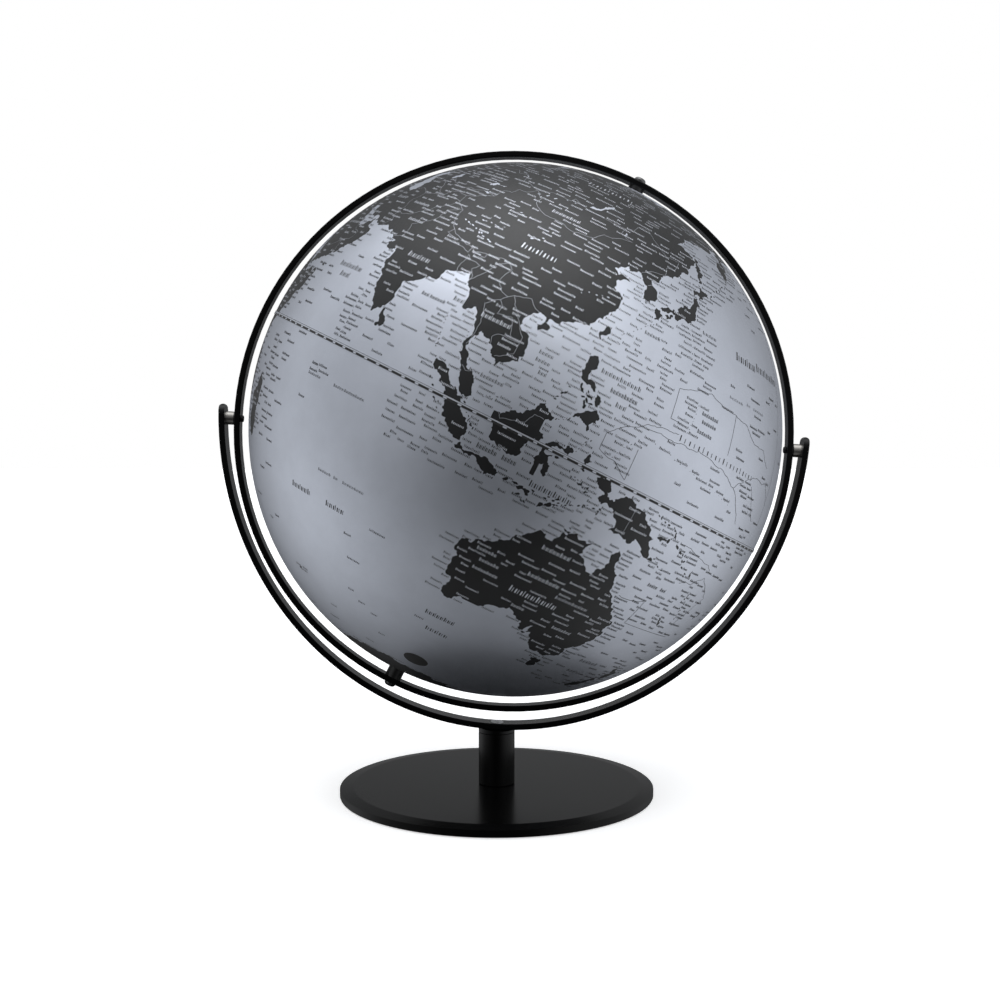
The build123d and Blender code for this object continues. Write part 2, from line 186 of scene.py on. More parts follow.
    "timor": [(123.5, -10.3), (125, -8.9), (127.2, -8.4), (125.8, -9.2)],
    "seram": [(128, -3.2), (130.6, -3), (130.4, -3.6), (128.4, -3.5)],
    "kyushu": [(129.7, 33.2), (131, 33.9), (132, 32.8), (131.3, 31.4), (130.2, 31.3)],
    "shikoku": [(132.5, 33.5), (134.4, 34.3), (134.6, 33.8), (133, 32.8)],
    "honshu": [
        (131, 34.3), (133, 35.5), (135.8, 35.6), (136.8, 37.2), (138.8, 37.8), (140, 39.5), (140.4, 41.2),
        (141.4, 41.3), (142, 39.5), (141, 38.2), (140.8, 35.8), (139.8, 35), (138.2, 34.6), (136.8, 34.4),
        (135.8, 33.5), (135, 34.6), (132.5, 34.2),
    ],
    "hokkaido": [
        (140, 42.5), (141.3, 43.3), (141.8, 45.4), (143.5, 44.2), (145.3, 44.1), (145.5, 43.2), (143.3, 42),
        (141.2, 42.5), (140.2, 41.5),
    ],
    "sakhalin": [
        (142.7, 54.3), (143.3, 52), (143.2, 49.5), (144.5, 49), (142.8, 47.5), (143.4, 46.2), (142.1, 46),
        (142, 48), (142.1, 50.5), (141.8, 52.5),
    ],
    "australia": [
        (114.1, -21.9), (113.4, -24.4), (114.2, -27.3), (115.7, -31.7), (115, -34.3), (118, -35.1),
        (120, -33.9), (123.9, -33.9), (126, -32.3), (129, -31.6), (131.3, -31.5), (134.2, -32.8),
        (135.6, -34.9), (137.6, -32.7), (137.3, -34.9), (138.4, -34.4), (139.2, -35.8), (140, -37.5),
        (143.5, -38.8), (146.4, -39.1), (149.9, -37.5), (151.3, -33.6), (153.1, -30.5), (153.5, -28.2),
        (153.1, -25), (150.9, -23.5), (149.2, -21), (146.3, -18.9), (145.3, -15.5), (143.6, -14.2),
        (142.4, -10.9), (141.6, -13), (141.4, -15.8), (140.4, -17.7), (138.6, -16.9), (135.5, -14.9),
        (136.6, -12.3), (133, -11.5), (130.7, -12.4), (129.6, -14.9), (128, -14.8), (126.8, -13.9),
        (124.4, -15.6), (122.2, -18.2), (119, -20), (116.8, -20.6),
    ],
    "tasmania": [(144.7, -40.7), (148.2, -40.9), (148, -42.8), (146.8, -43.6), (145.4, -42.7)],
    "north_island": [
        (172.8, -34.5), (174.8, -36.8), (178.5, -37.7), (177, -39.5), (175.3, -41.6), (173.8, -39.2),
        (174.7, -38),
    ],
    "south_island": [
        (172.7, -40.6), (174.2, -41.7), (172.8, -43.8), (170.7, -45.9), (168.4, -46.6), (166.5, -45.9),
        (168.5, -44), (171.2, -42.3),
    ],
    "new_caledonia": [(164, -20.1), (167, -22.3), (166.2, -22.2)],
    "great_britain": [
        (-5.6, 50.1), (1.4, 51.2), (1.7, 52.7), (0.2, 53), (-1.5, 55), (-3, 56), (-2, 57.6), (-4, 57.6),
        (-3.2, 58.6), (-5, 58.6), (-5.7, 56.5), (-4.8, 54.8), (-3, 54), (-4.5, 53.3), (-4.2, 52.3),
        (-5.2, 51.8), (-3, 51.4),
    ],
    "ireland": [
        (-6, 52.2), (-6.1, 53.5), (-5.6, 54.6), (-7.5, 55.3), (-10, 54.2), (-9.3, 53), (-10.3, 51.8),
        (-8, 51.8),
    ],
    "iceland": [
        (-24, 65.5), (-22.5, 66.4), (-18, 66.1), (-14.6, 66.3), (-13.6, 65), (-18.7, 63.4), (-22.6, 63.9),
        (-22, 64.6),
    ],
    "greenland": [
        (-73, 78.2), (-68, 79.8), (-60, 82), (-33, 83.6), (-20, 82), (-17, 80), (-19, 77), (-20, 74),
        (-22.5, 71), (-26, 68.5), (-33, 67.7), (-38, 65.8), (-42, 62.5), (-43.5, 60), (-48.5, 61),
        (-52, 64.5), (-53.7, 68), (-51, 70), (-55, 72), (-58, 75), (-68, 76),
    ],
    "svalbard": [(11, 79.5), (20, 80.3), (27, 80), (21, 78.5), (17, 76.7), (13.5, 78)],
    "novaya_zemlya": [
        (52, 71), (54, 73), (57, 75.2), (68, 76.8), (66, 75.7), (58, 73.5), (57, 71), (53.5, 70.7),
    ],
    "severnaya_zemlya": [(95, 79.5), (97, 80.8), (105, 79), (102, 78)],
    "new_siberian": [(138, 75.5), (150, 75.2), (148, 74.8), (140, 74.8)],
    "sicily": [(12.5, 38), (15.6, 38.2), (15.1, 36.7)],
    "sardinia": [(8.2, 40.9), (9.7, 41), (9.5, 39.2), (8.4, 39)],
    "crete": [(23.6, 35.5), (26.2, 35.2), (24.8, 34.9)],
    "cyprus": [(32.4, 35.1), (34.5, 35.6), (33, 34.6)],
    "north_america": [
        (-168, 65.6), (-164, 66.5), (-166.5, 68.3), (-162, 70), (-156.6, 71.3), (-143, 70.1), (-135, 69),
        (-128, 70.2), (-121, 69.8), (-115, 68.5), (-109, 68), (-102, 67.8), (-96, 68), (-95, 71.8),
        (-90, 69), (-88, 68.5), (-85.5, 69.6), (-81.5, 68.9), (-82, 67), (-86.5, 66), (-90, 64), (-94, 61),
        (-94.5, 58.8), (-92.5, 57), (-88, 56.4), (-82.3, 55.2), (-82, 53), (-79.8, 51.3), (-79, 53.5),
        (-77, 55.5), (-77, 57.5), (-78.3, 59), (-77.5, 62.3), (-72.5, 61.8), (-69.7, 59.3), (-65, 60.2),
        (-62, 57.5), (-58, 54.5), (-56, 52), (-60, 50.2), (-66.5, 50.2), (-70.5, 47.2), (-65.5, 49.2),
        (-64.5, 47), (-61.3, 45.9), (-65.8, 43.5), (-67, 44.8), (-70.5, 43.2), (-70, 41.7), (-74, 40.6),
        (-75.6, 36), (-76, 38), (-75.5, 35.2), (-78.5, 33.8), (-81.3, 31), (-80.2, 27), (-80.6, 25.2),
        (-81.8, 26), (-82.8, 28.5), (-84, 30), (-88.5, 30.3), (-89.5, 29.2), (-94, 29.5), (-97.3, 27.5),
        (-97.8, 22.5), (-96, 19), (-94.3, 18.2), (-91.5, 18.6), (-90.4, 21), (-87, 21.5), (-87.8, 18.3),
        (-88.7, 15.9), (-83.3, 15), (-83.8, 11), (-81.5, 9), (-79.5, 9.6), (-77.3, 8.6), (-76, 7.8),
        (-78, 7.4), (-80, 7.4), (-83, 8.3), (-85.7, 10.2), (-87.6, 12.9), (-92, 14.5), (-95, 16.1),
        (-99.5, 16.7), (-105.5, 20.3), (-105.7, 22.5), (-109.4, 26.7), (-113, 31.2), (-114.7, 31.6),
        (-112.5, 28), (-109.5, 23.2), (-112.2, 25.5), (-114.5, 27.8), (-115.8, 30), (-117.2, 32.6),
        (-120.6, 34.6), (-122.5, 37.5), (-124.3, 40.4), (-124, 46.2), (-124.6, 48.4), (-122.8, 49),
        (-127.5, 51), (-130.3, 54.5), (-134.5, 58.2), (-139.5, 59.6), (-146, 60.8), (-151.8, 59.2),
        (-151, 61), (-154, 59), (-158.3, 56), (-163.5, 54.8), (-158, 58.5), (-162, 58.7), (-165, 61.5),
        (-164.5, 63.2), (-161, 64.5), (-166, 64.6),
    ],
    "south_america": [
        (-77.3, 8.5), (-75, 10.8), (-71.7, 12.4), (-71.5, 10.9), (-68.2, 10.8), (-62, 10.7), (-57, 6),
        (-51.5, 4), (-50, 0.5), (-48, -0.8), (-44.3, -2.5), (-39, -3.3), (-35.3, -5.3), (-35, -9),
        (-38.8, -13), (-39, -17.8), (-41, -22), (-44.6, -23.1), (-48.5, -26), (-50.5, -30.5),
        (-53.8, -34.2), (-57.8, -34.5), (-57, -36.5), (-62, -38.9), (-62.5, -41), (-65, -41), (-64.5, -43),
        (-67.5, -46.2), (-66, -48), (-69, -51), (-68.4, -52.5), (-71.5, -53.6), (-74.5, -51),
        (-75.5, -46.7), (-73, -41.8), (-73.5, -37.2), (-71.5, -32.8), (-70.4, -25), (-70.3, -18.3),
        (-76.2, -13.9), (-79.7, -7.2), (-81.3, -4.5), (-80, -3), (-80.9, -1), (-78.8, 1.5), (-77.3, 4),
        (-78, 7),
    ],
    "tierra_del_fuego": [(-68.5, -52.8), (-65.2, -54.7), (-68.5, -55.5), (-72, -54), (-70, -53)],
    "cuba": [
        (-84.8, 22), (-82.5, 23.1), (-79, 22.8), (-74.3, 20.2), (-77.5, 19.9), (-78, 20.7), (-82, 22.3),
    ],
    "hispaniola": [(-74.3, 18.5), (-73, 19.9), (-69.9, 19.7), (-68.4, 18.5), (-71, 17.8)],
    "newfoundland": [(-59, 47.6), (-56.5, 51.4), (-53.2, 48.5), (-53.5, 46.7)],
    "baffin": [
        (-65, 62.5), (-72, 64.5), (-78, 65), (-73.5, 68), (-79, 70), (-89, 71), (-88, 73.7), (-80.5, 73.7),
        (-74.5, 71.8), (-68, 70), (-61.5, 66.7), (-66.5, 64.5),
    ],
    "victoria_island": [(-117, 69.5), (-105, 69), (-102, 70), (-105.5, 73), (-114, 73.2), (-118, 71)],
    "banks_island": [(-125, 72), (-123, 74.3), (-117, 73.6), (-121, 71.3)],
    "ellesmere": [(-88, 76.5), (-78, 77), (-75, 79), (-62, 82.4), (-75, 83), (-90, 81.5), (-86, 79)],
    "devon": [(-92, 76.4), (-80, 75.8), (-80, 74.7), (-91, 74.8)],
    "prince_of_wales": [(-102, 73.5), (-91, 73.8), (-93, 72), (-101, 71.8)],
    "southampton": [(-86.5, 65.5), (-81, 64.2), (-86.5, 63.6)],
    "vancouver_island": [(-128.3, 50.7), (-123.5, 48.4), (-125.5, 48.9)],
    "antarctica": [
        (-170, -78.5), (-158, -77.5), (-150, -77), (-140, -75), (-130, -74), (-115, -74), (-100, -72),
        (-90, -73), (-80, -73), (-75, -71), (-68, -70), (-67, -67.5), (-62, -64.5), (-57, -63.3),
        (-60, -66), (-62, -69), (-61, -74), (-60, -77), (-50, -78), (-35, -78), (-25, -75.5), (-15, -72.5),
        (0, -70.5), (15, -70), (33, -69), (40, -68.5), (50, -66.8), (57, -67), (69, -68.5), (72, -69.5),
        (78, -68.5), (88, -66.5), (100, -65.8), (115, -66.7), (130, -66.2), (143, -67), (155, -69),
        (165, -70.8), (171, -72), (166, -77.5), (180, -78.3),
    ],
}
WATER = {
    "caspian": [
        (47, 45), (49, 46.5), (53, 46.8), (51, 44.6), (50.5, 43.5), (52.5, 42), (54, 40.8), (53, 39.5),
        (54, 37), (51, 36.7), (49, 37.6), (49.3, 40.4), (48, 42.5), (47.5, 43.5),
    ],
    "aral": [(58.5, 45), (60.5, 46.5), (61.3, 45.3), (60, 43.8)],
    "baikal": [
        (103.8, 51.3), (105.5, 51.4), (107.5, 52), (109, 53.6), (109.9, 55.8), (108.6, 54.8), (107.5, 53.2),
        (105.6, 52),
    ],
    "balkhash": [(74, 45.8), (76, 46.8), (79, 46.7), (76, 46.3), (74.4, 45.2)],
    "issyk_kul": [(76.3, 42.5), (77.5, 42.7), (78.3, 42.5), (77.2, 42.2)],
    "van": [(42.5, 38.7), (43.4, 38.9), (43, 38.3)],
    "ladoga": [(30.9, 60.6), (31.5, 61.6), (32.8, 61), (32.4, 60.2)],
    "onega": [(34.7, 62), (35.6, 62.3), (36.2, 61.2), (35.4, 61)],
    "superior": [(-92, 46.7), (-88.3, 48.8), (-84.9, 47.2), (-87.5, 46.6)],
    "michigan": [(-87.8, 42), (-87.6, 44.5), (-85.6, 45.8), (-86.3, 43.5), (-86.9, 41.7)],
    "huron": [(-84.4, 45.8), (-81, 45.8), (-81.6, 43.4), (-83.4, 44)],
    "erie": [(-83.3, 41.7), (-79.3, 42.9), (-81.5, 41.6)],
    "ontario": [(-79.6, 43.5), (-76.5, 44), (-78, 43.3)],
    "winnipeg": [(-98.7, 53.8), (-97, 51.6), (-96.6, 50.6), (-97.8, 52.6)],
    "great_slave": [(-116.5, 61.2), (-113, 62.3), (-110, 62.7), (-113, 61.2)],
    "great_bear": [(-124, 66), (-121, 66.8), (-118.5, 66), (-122, 65.2)],
    "victoria_lake": [(31.8, -1), (32, 0.2), (33.8, 0.3), (34, -0.8), (33, -2.4)],
    "tanganyika": [(29.2, -3.5), (29.7, -4.5), (31, -8.5), (30.4, -8), (29.4, -5.8)],
    "malawi_lake": [(34, -9.7), (34.7, -11.5), (35, -14), (34.3, -12.3)],
    "chad_lake": [(13.6, 13.4), (14.6, 13.6), (14.4, 12.9)],
}
BORDERS = [
    [(11.3, 59), (12, 61.5), (12.2, 64), (15, 66.2), (18, 68.5), (20.5, 69.1), (23.7, 67.5), (24.1, 65.8)],
    [(20.5, 69.1), (28.5, 69.6), (29.5, 67), (30, 65.5), (31.3, 62.6), (28, 60.6)],
    [
        (28, 59.5), (27.5, 57.5), (28.2, 56), (31, 54.5), (32.5, 53), (31.5, 52.1), (34, 51.2), (36, 50.4),
        (40, 49.5), (38.3, 47.2),
    ],
    [(19.6, 54.4), (23.5, 53.9), (23.6, 51.5), (22.7, 49.4), (24.5, 47.9), (27.5, 48.4), (28.2, 45.4)],
    [
        (14.3, 53.8), (14.7, 51.5), (12.2, 50.4), (13.8, 48.7), (10.4, 47.4), (7.6, 47.6), (8.2, 49),
        (6.2, 49.5), (6, 51.5), (7, 53.2),
    ],
    [(14.7, 50.9), (18.8, 49.5), (22.7, 49.2), (22, 48.3), (18.8, 47.8), (16.5, 48), (13.8, 48.7)],
    [(7.6, 47.6), (6.2, 46.3), (7, 45), (7.5, 43.8)], [(-1.7, 43.3), (3, 42.5)],
    [(-8.8, 41.9), (-6.5, 41.7), (-7.3, 38.5), (-7.4, 37.2)],
    [(6.9, 45.9), (10.4, 46.8), (13.7, 46.5), (16.5, 46.3), (19, 45.9), (19.3, 44.5), (18.5, 42.5)],
    [(22.7, 44.2), (25.5, 43.7), (28.5, 43.8)], [(20, 39.7), (21, 40.9), (23, 41.3), (26.3, 41.7)],
    [(36.2, 36.8), (38.5, 36.9), (42.4, 37.1), (44.8, 37.2), (44.5, 39.8), (42.5, 41.5)],
    [(42.3, 37.1), (41, 34.5), (38.8, 33.4), (39, 32.1), (37, 31.5), (36, 29.2), (34.9, 29.5)],
    [(44.8, 37.2), (46, 35.8), (45.6, 34), (47.7, 31.8), (48, 30)], [(35.6, 33), (35.4, 31), (34.9, 29.6)],
    [(39, 32.1), (42, 31), (44.7, 29.2), (47.5, 29), (48.4, 28.5)],
    [(42.8, 16.4), (44, 17.4), (47, 17), (52, 19), (55, 20), (55.6, 22), (52.6, 22.9), (51.5, 24.3)],
    [(52, 19), (53, 16.7)], [(40, 43.4), (43.5, 42.6), (46.5, 41.9), (48.5, 41.8)],
    [(41.5, 41.5), (45, 41.2), (46.5, 39.5), (48, 38.8)], [(54, 37.3), (57, 38.2), (61.1, 36.6)],
    [(61.1, 36.6), (60.6, 33.5), (61.8, 31.1), (60.9, 29.9), (63, 27.2), (61.6, 25.2)],
    [(60.9, 29.9), (66.3, 29.8), (69.3, 31.9), (71.1, 34.2), (74.5, 37)],
    [(61.1, 36.6), (64.8, 37.2), (67.8, 37.2), (71.5, 37.9), (74.5, 37.2)],
    [(56, 41.3), (60, 42), (61.5, 41), (66.5, 37.4)],
    [
        (56, 41.3), (56, 45), (58.6, 45.5), (62, 43.5), (66, 42), (69, 41.2), (71, 42.3), (75.5, 42.9),
        (80.2, 42.2),
    ],
    [(67.8, 37.2), (68, 39.5), (70.7, 40), (73.7, 39.5)], [(50, 42), (52.5, 41.8), (56, 41.3)],
    [
        (74.5, 37.2), (73.8, 39.5), (76.5, 40.4), (80.2, 42.2), (80.3, 45), (82.6, 45.3), (83, 47.2),
        (85.6, 47.2), (87.3, 49.1),
    ],
    [
        (49, 46.2), (46.7, 48.4), (48.5, 50), (54.5, 51), (59.5, 50.6), (61.5, 51.3), (61, 53.9),
        (65, 54.4), (70.8, 55.2), (73.5, 53.5), (77, 54.3), (80, 51), (87.3, 49.2), (92, 50.8), (98, 50.5),
        (98.3, 52), (102.3, 50.6), (107, 49.9), (113, 49.6), (116.7, 49.8),
    ],
    [
        (87.8, 49.1), (91, 46.9), (91, 45.2), (96, 42.7), (101.5, 42.5), (105, 41.6), (110, 42.6),
        (112, 44.9), (116, 46), (119.8, 46.7), (116, 47.8), (116.7, 49.8),
    ],
    [
        (116.7, 49.8), (119.2, 50.1), (120, 52.6), (123.6, 53.5), (127.5, 50.2), (130.8, 47.9),
        (134.7, 48.4), (133.1, 45.1), (131, 44.8), (130.7, 42.4),
    ],
    [(124.4, 40.1), (126.9, 41.7), (128.2, 42), (130.5, 42.5)], [(126.7, 37.8), (128.4, 38.6)],
    [
        (68.2, 23.8), (71, 24.4), (70, 27.8), (73.5, 29.9), (74.6, 31.8), (74.5, 33.8), (77.8, 35.5),
        (74.5, 37),
    ],
    [(77.8, 35.5), (78.8, 32.5), (81, 30.2), (84, 28.8), (88, 27.9), (89, 27.3), (92, 27.8), (97.3, 28.3)],
    [(81, 30.2), (80.2, 29), (84.5, 27.2), (88.1, 26.5), (88.1, 27.9)],
    [(89, 27.3), (89.2, 26.8), (92, 26.9), (92, 27.8)],
    [(89, 21.8), (88.7, 24.2), (88.6, 26.2), (90, 25.2), (92.3, 25), (91.3, 23.7), (92.5, 22), (92.3, 21)],
    [(97.3, 28.3), (95, 26.5), (94.2, 24), (93, 22.2), (92.3, 21)],
    [
        (97.3, 28.3), (98.6, 27), (97.7, 24), (99.2, 22.2), (101.1, 21.6), (102.1, 22.4), (105.3, 23.3),
        (106.7, 22), (108, 21.5),
    ],
    [(101.1, 21.6), (100.1, 20.4), (97.8, 18.5), (98.8, 16.2), (99.2, 13), (98.8, 10.2)],
    [
        (100.1, 20.4), (101.2, 19.5), (101, 17.7), (104, 18.3), (104.8, 16.5), (105.6, 14.4), (103, 14.2),
        (102.4, 13.5), (102.9, 11.7),
    ],
    [
        (102.1, 22.4), (103, 20.8), (104.5, 19.5), (105.6, 18), (107.5, 15.8), (107.5, 12.3), (105.9, 11.2),
        (104.5, 10.4),
    ],
    [(105.6, 14.4), (107.5, 14.5)], [(100.1, 6.5), (101.1, 5.8), (102.1, 6.2)],
    [(109.6, 2), (110.5, 0.9), (112.5, 1.5), (114.8, 2.2), (115.8, 4.3), (117.7, 4.2)],
    [(141, -2.6), (141, -9.1)], [(25, 31.6), (25, 22), (37, 22)],
    [(25, 22), (24, 20), (24, 15.7), (22, 12.7), (24, 8.7), (27.4, 5.1)],
    [(24, 19.5), (16, 23.4), (14.2, 22.6), (12, 23.5), (9.5, 26.3), (9.8, 30), (11.5, 33.2)],
    [(12, 23.5), (4, 19.2), (-4.8, 25), (-8.7, 27.3)],
    [(-2.2, 35), (-1.2, 32.2), (-3.6, 31), (-8.7, 28.7), (-8.7, 26), (-12, 26), (-13, 21.3), (-17, 21.3)],
    [(-4.8, 25), (-6.5, 25), (-5.3, 15.5), (-9.3, 15.5), (-12.2, 14.8), (-16.5, 16)],
    [(4, 19.2), (4, 16.9), (0, 15), (-4, 13.5), (-5.5, 10.4), (-7.8, 8.5), (-7.5, 4.4)],
    [(3.6, 11.7), (4, 13.5), (8, 12.9), (13.5, 13.6), (15.5, 17), (15.9, 23)], [(3.6, 11.7), (2.7, 6.4)],
    [(-3, 5), (-2.8, 11), (2, 11.5)], [(14.2, 13), (13.5, 10), (11, 6.6), (8.6, 4.8)],
    [(14.2, 13), (15.5, 10), (14.5, 6), (16.2, 2.2), (9.8, 2.2)],
    [
        (16.2, 3.5), (18.6, 4), (22.5, 4.1), (27.4, 5.1), (31, 3.6), (29.7, 0), (29, -2.5), (29.4, -6),
        (30.8, -8.3), (28.5, -9), (28.5, -12), (30, -13.5),
    ],
    [(18.6, 4), (17.8, 0), (16, -4), (12.5, -5)], [(15.5, 8), (19, 9), (22.5, 11)],
    [
        (38.5, 18), (36.5, 14.3), (34.5, 10.8), (33, 8), (35.9, 4.6), (38.5, 3.6), (41.9, 3.9), (41, -0.9),
        (41.6, -1.7),
    ],
    [(24, 8.7), (27, 9.6), (31, 9.8), (34, 10)], [(36.5, 14.3), (40, 14.5), (42.5, 12.5)],
    [(42.9, 11), (43, 9), (48, 8), (45, 5), (41.9, 3.9)],
    [(35.9, 4.6), (34, 4.2), (34, -1), (37.7, -3.5), (39.2, -4.7)], [(34, -1), (30.5, -1)],
    [(34.7, -11.6), (37.5, -11.7), (40.4, -10.5)],
    [
        (12.5, -5.9), (17, -7.5), (21.8, -7.3), (22, -11), (24, -11), (24, -13), (22, -13), (22, -16.3),
        (23.4, -17.6),
    ],
    [
        (11.8, -17.3), (14, -17.4), (18.5, -17.4), (23.4, -17.6), (25.3, -17.8), (27.7, -20.5),
        (29.4, -22.2), (31.3, -22.4), (32.8, -20), (32.8, -17), (30.4, -15.6), (33, -14),
    ],
    [(21, -18.3), (21, -22), (20, -22), (20, -28.4), (16.5, -28.6)],
    [(20, -26.8), (23, -25.3), (25.8, -24.7), (27, -23.5), (29.4, -22.2)],
    [
        (-123, 49), (-95, 49), (-89.5, 48), (-84.5, 46.5), (-82.5, 42.5), (-79, 43.3), (-75, 45),
        (-71.5, 45), (-69.2, 47.4), (-67.8, 45.7), (-67, 44.9),
    ],
    [(-141, 69.7), (-141, 60.3), (-137.5, 59), (-133, 57.5), (-130, 55.5)],
    [
        (-117.1, 32.5), (-111, 31.3), (-106.5, 31.8), (-104.5, 29.6), (-101.4, 29.8), (-99.2, 26.5),
        (-97.2, 25.9),
    ],
    [(-120, 60), (-95, 60)], [(-110, 60), (-110, 49)], [(-120, 60), (-120, 54), (-114.5, 49)],
    [(-95, 60), (-95, 49)], [(-79.5, 51.5), (-79.5, 46.5)], [(-117, 49), (-117, 42), (-124, 42)],
    [(-120, 42), (-120, 39), (-114.7, 35)], [(-109, 41), (-109, 31.5)],
    [(-104, 49), (-104, 41), (-94.5, 40)], [(-109, 37), (-94.6, 37)], [(-94, 36), (-94, 30)],
    [(-91, 43), (-91, 37), (-90, 30)], [(-88, 41), (-85, 35), (-85, 31), (-82, 30.6)],
    [(-92.2, 14.6), (-91, 16), (-89.2, 17.9), (-88.3, 18.4)], [(-87.3, 13), (-83.3, 15)],
    [
        (-71.4, 11.9), (-72.4, 8), (-67.5, 6.2), (-67, 1.2), (-69.8, 0), (-70, -4.2), (-73.8, -7.3),
        (-70.6, -9.5), (-69.5, -11),
    ],
    [(-80.3, -3.5), (-78.5, -4.8), (-75.2, -0.2), (-78.8, 1.4)],
    [(-67, 1.2), (-64, 2), (-60.7, 5.2), (-57.3, 2), (-52.6, 2.2), (-51.7, 4)],
    [
        (-69.5, -11), (-65.3, -10), (-60.1, -13.7), (-58, -19.8), (-62.3, -22.2), (-67, -22.8),
        (-69, -17.8), (-69.5, -11),
    ],
    [(-67, -22.8), (-69.5, -28), (-70, -33), (-71.3, -39), (-72, -46), (-72.5, -51), (-68.5, -52.3)],
    [(-70.3, -18.3), (-69, -17.8)],
    [(-62.3, -22.2), (-58, -25), (-58.6, -27.2), (-54.7, -25.6), (-55.8, -22.3), (-58, -20.2)],
    [(-57.6, -30.2), (-58.2, -33.5)], [(-57.6, -30.2), (-53.5, -33.7)],
]
SEA_LINES = [
    [(140, 15), (140, 21), (157, 22), (175, 16)], [(140, 15), (143, 15)], [(157, 22), (157, 14)],
    [(136, 1), (129, 4), (129, 7), (136, 12), (143, 13)], [(136, 1), (136, 7)],
    [(136, 11), (149, 12), (157, 11), (162, 9), (168, 3)], [(162, 9), (176, 13), (180, 9)],
    [(169, 11), (175, 5)], [(155, -5), (163, -6), (170, -8)],
    [(161, -12), (168, -9), (174, -13), (171, -21)], [(149, -19), (156, -18), (156, -24), (174, -24)],
    [(180, 66), (180, 52)], [(180, 48), (180, 5)],
]
# Chains of small islands: from, to, how many, and how long each one is in degrees.
ISLAND_CHAINS = [
    ((115.5, -8.5), (123, -8.5), 6, 1.3), ((124, -8.3), (127, -7.8), 5, 0.8),
    ((128, -7.8), (134.5, -5.5), 10, 0.6), ((119, -9.7), (121.5, -10.4), 3, 0.9),
    ((125.5, -2), (132, -4.5), 9, 0.6), ((125.3, 1.5), (127, 5), 7, 0.4),
    ((120.8, 12.8), (125.5, 10), 11, 0.8), ((121.8, 12), (123.5, 9.5), 6, 1.0),
    ((117.2, 8.2), (120, 11.5), 6, 0.8), ((119.5, 5), (122.5, 7), 7, 0.4),
    ((95.6, 2.8), (100.6, -3.5), 8, 0.7), ((103, 1), (107, -3), 10, 0.6), ((106, 3), (109, 4), 4, 0.4),
    ((92.8, 13.5), (93.9, 7), 9, 0.4), ((98, 12.5), (98.4, 8.5), 7, 0.3), ((73, 11.5), (73.2, 0), 13, 0.3),
    ((71, -5), (72.5, -7.5), 5, 0.2), ((124, 24.4), (130.5, 30.5), 9, 0.4),
    ((139.5, 34), (142, 27), 6, 0.3), ((145.5, 20), (144.8, 13.5), 8, 0.3),
    ((146, 44), (156, 50.8), 10, 0.9), ((138, 9.5), (163, 5.5), 18, 0.3), ((134.5, 8), (131.5, 3), 4, 0.3),
    ((165, 11.5), (172, 5.5), 10, 0.3), ((173, 3), (177, -2.5), 8, 0.3), ((146, -2), (150, -2.6), 5, 0.6),
    ((154.5, -5.2), (162.5, -10.8), 9, 1.2), ((150.5, -9.6), (154.5, -11.5), 8, 0.5),
    ((166.5, -13.5), (169.8, -20), 10, 0.7), ((177.5, -17.7), (180, -17), 4, 0.9),
    ((184, -21.5), (187, -15.5), 7, 0.3), ((187.5, -13.6), (190, -14.4), 3, 0.6),
    ((130.2, -11.6), (131.4, -11.5), 3, 0.8), ((136.2, -11.6), (136.8, -14), 3, 0.5),
    ((137, -35.8), (137.4, -35.8), 1, 1.2), ((144, -39.9), (148.2, -40.2), 3, 0.5),
    ((126.4, 33.4), (129.3, 34.5), 4, 0.6), ((134.3, -5.6), (134.5, -7), 3, 0.7),
    ((52.5, -3.8), (57.6, -20.5), 7, 0.4), ((43.4, -11.6), (45.2, -12.9), 4, 0.4),
    ((53.4, 12.5), (54.2, 12.5), 1, 1.1), ((173, 52.8), (201, 55), 15, 0.9),
    ((-78, 26.6), (-73, 21.5), 10, 0.6), ((-67, 18.3), (-61, 12), 12, 0.4),
    ((-160, 22), (-155.2, 19.4), 6, 0.6), ((-18, 28), (-13.8, 29), 6, 0.5),
    ((-31, 39.5), (-25.2, 37.5), 6, 0.4), ((-25.2, 17), (-23, 15), 7, 0.4),
    ((-91.5, -0.5), (-89.5, -0.8), 4, 0.6), ((-149, -15), (-136, -22), 16, 0.3),
    ((-152, -17), (-149.2, -17.7), 4, 0.4), ((-7.5, 56.5), (-1, 60.4), 9, 0.5),
    ((21, 38.5), (27.8, 36.2), 11, 0.4), ((1.4, 39), (4, 40), 3, 0.6), ((-61, -51.5), (-58, -51.6), 3, 1.3),
    ((-119, 76), (-98, 78), 8, 3.0), ((48, 80.5), (62, 80.8), 9, 1.5), ((69, -49.2), (70, -49.4), 2, 1.0),
    ((-38, -54.3), (-26.5, -58.5), 6, 0.5), ((179, 71), (181, 71.2), 1, 2.2),
]
# Chains of lakes, in the same way.
LAKE_CHAINS = [
    ((80.5, 33.5), (91, 30.8), 10, 0.6), ((84, 35.2), (91, 35), 6, 0.5),
    ((97.5, 35.2), (100.3, 36.9), 3, 0.7), ((90, 40.6), (92, 40.5), 2, 0.7),
    ((88, 48), (100.5, 50.8), 5, 0.7), ((73, 55), (79, 53.5), 5, 0.6), ((112.8, 29), (120, 31.2), 5, 0.5),
    ((117.3, 48.8), (117.7, 47.8), 2, 0.6), ((26, 61), (30, 64), 9, 0.6), ((-118, 65), (-98, 54), 15, 0.9),
    ((30, -2), (36, 4), 5, 0.5), ((41, 39), (46, 37.8), 3, 0.7),
]
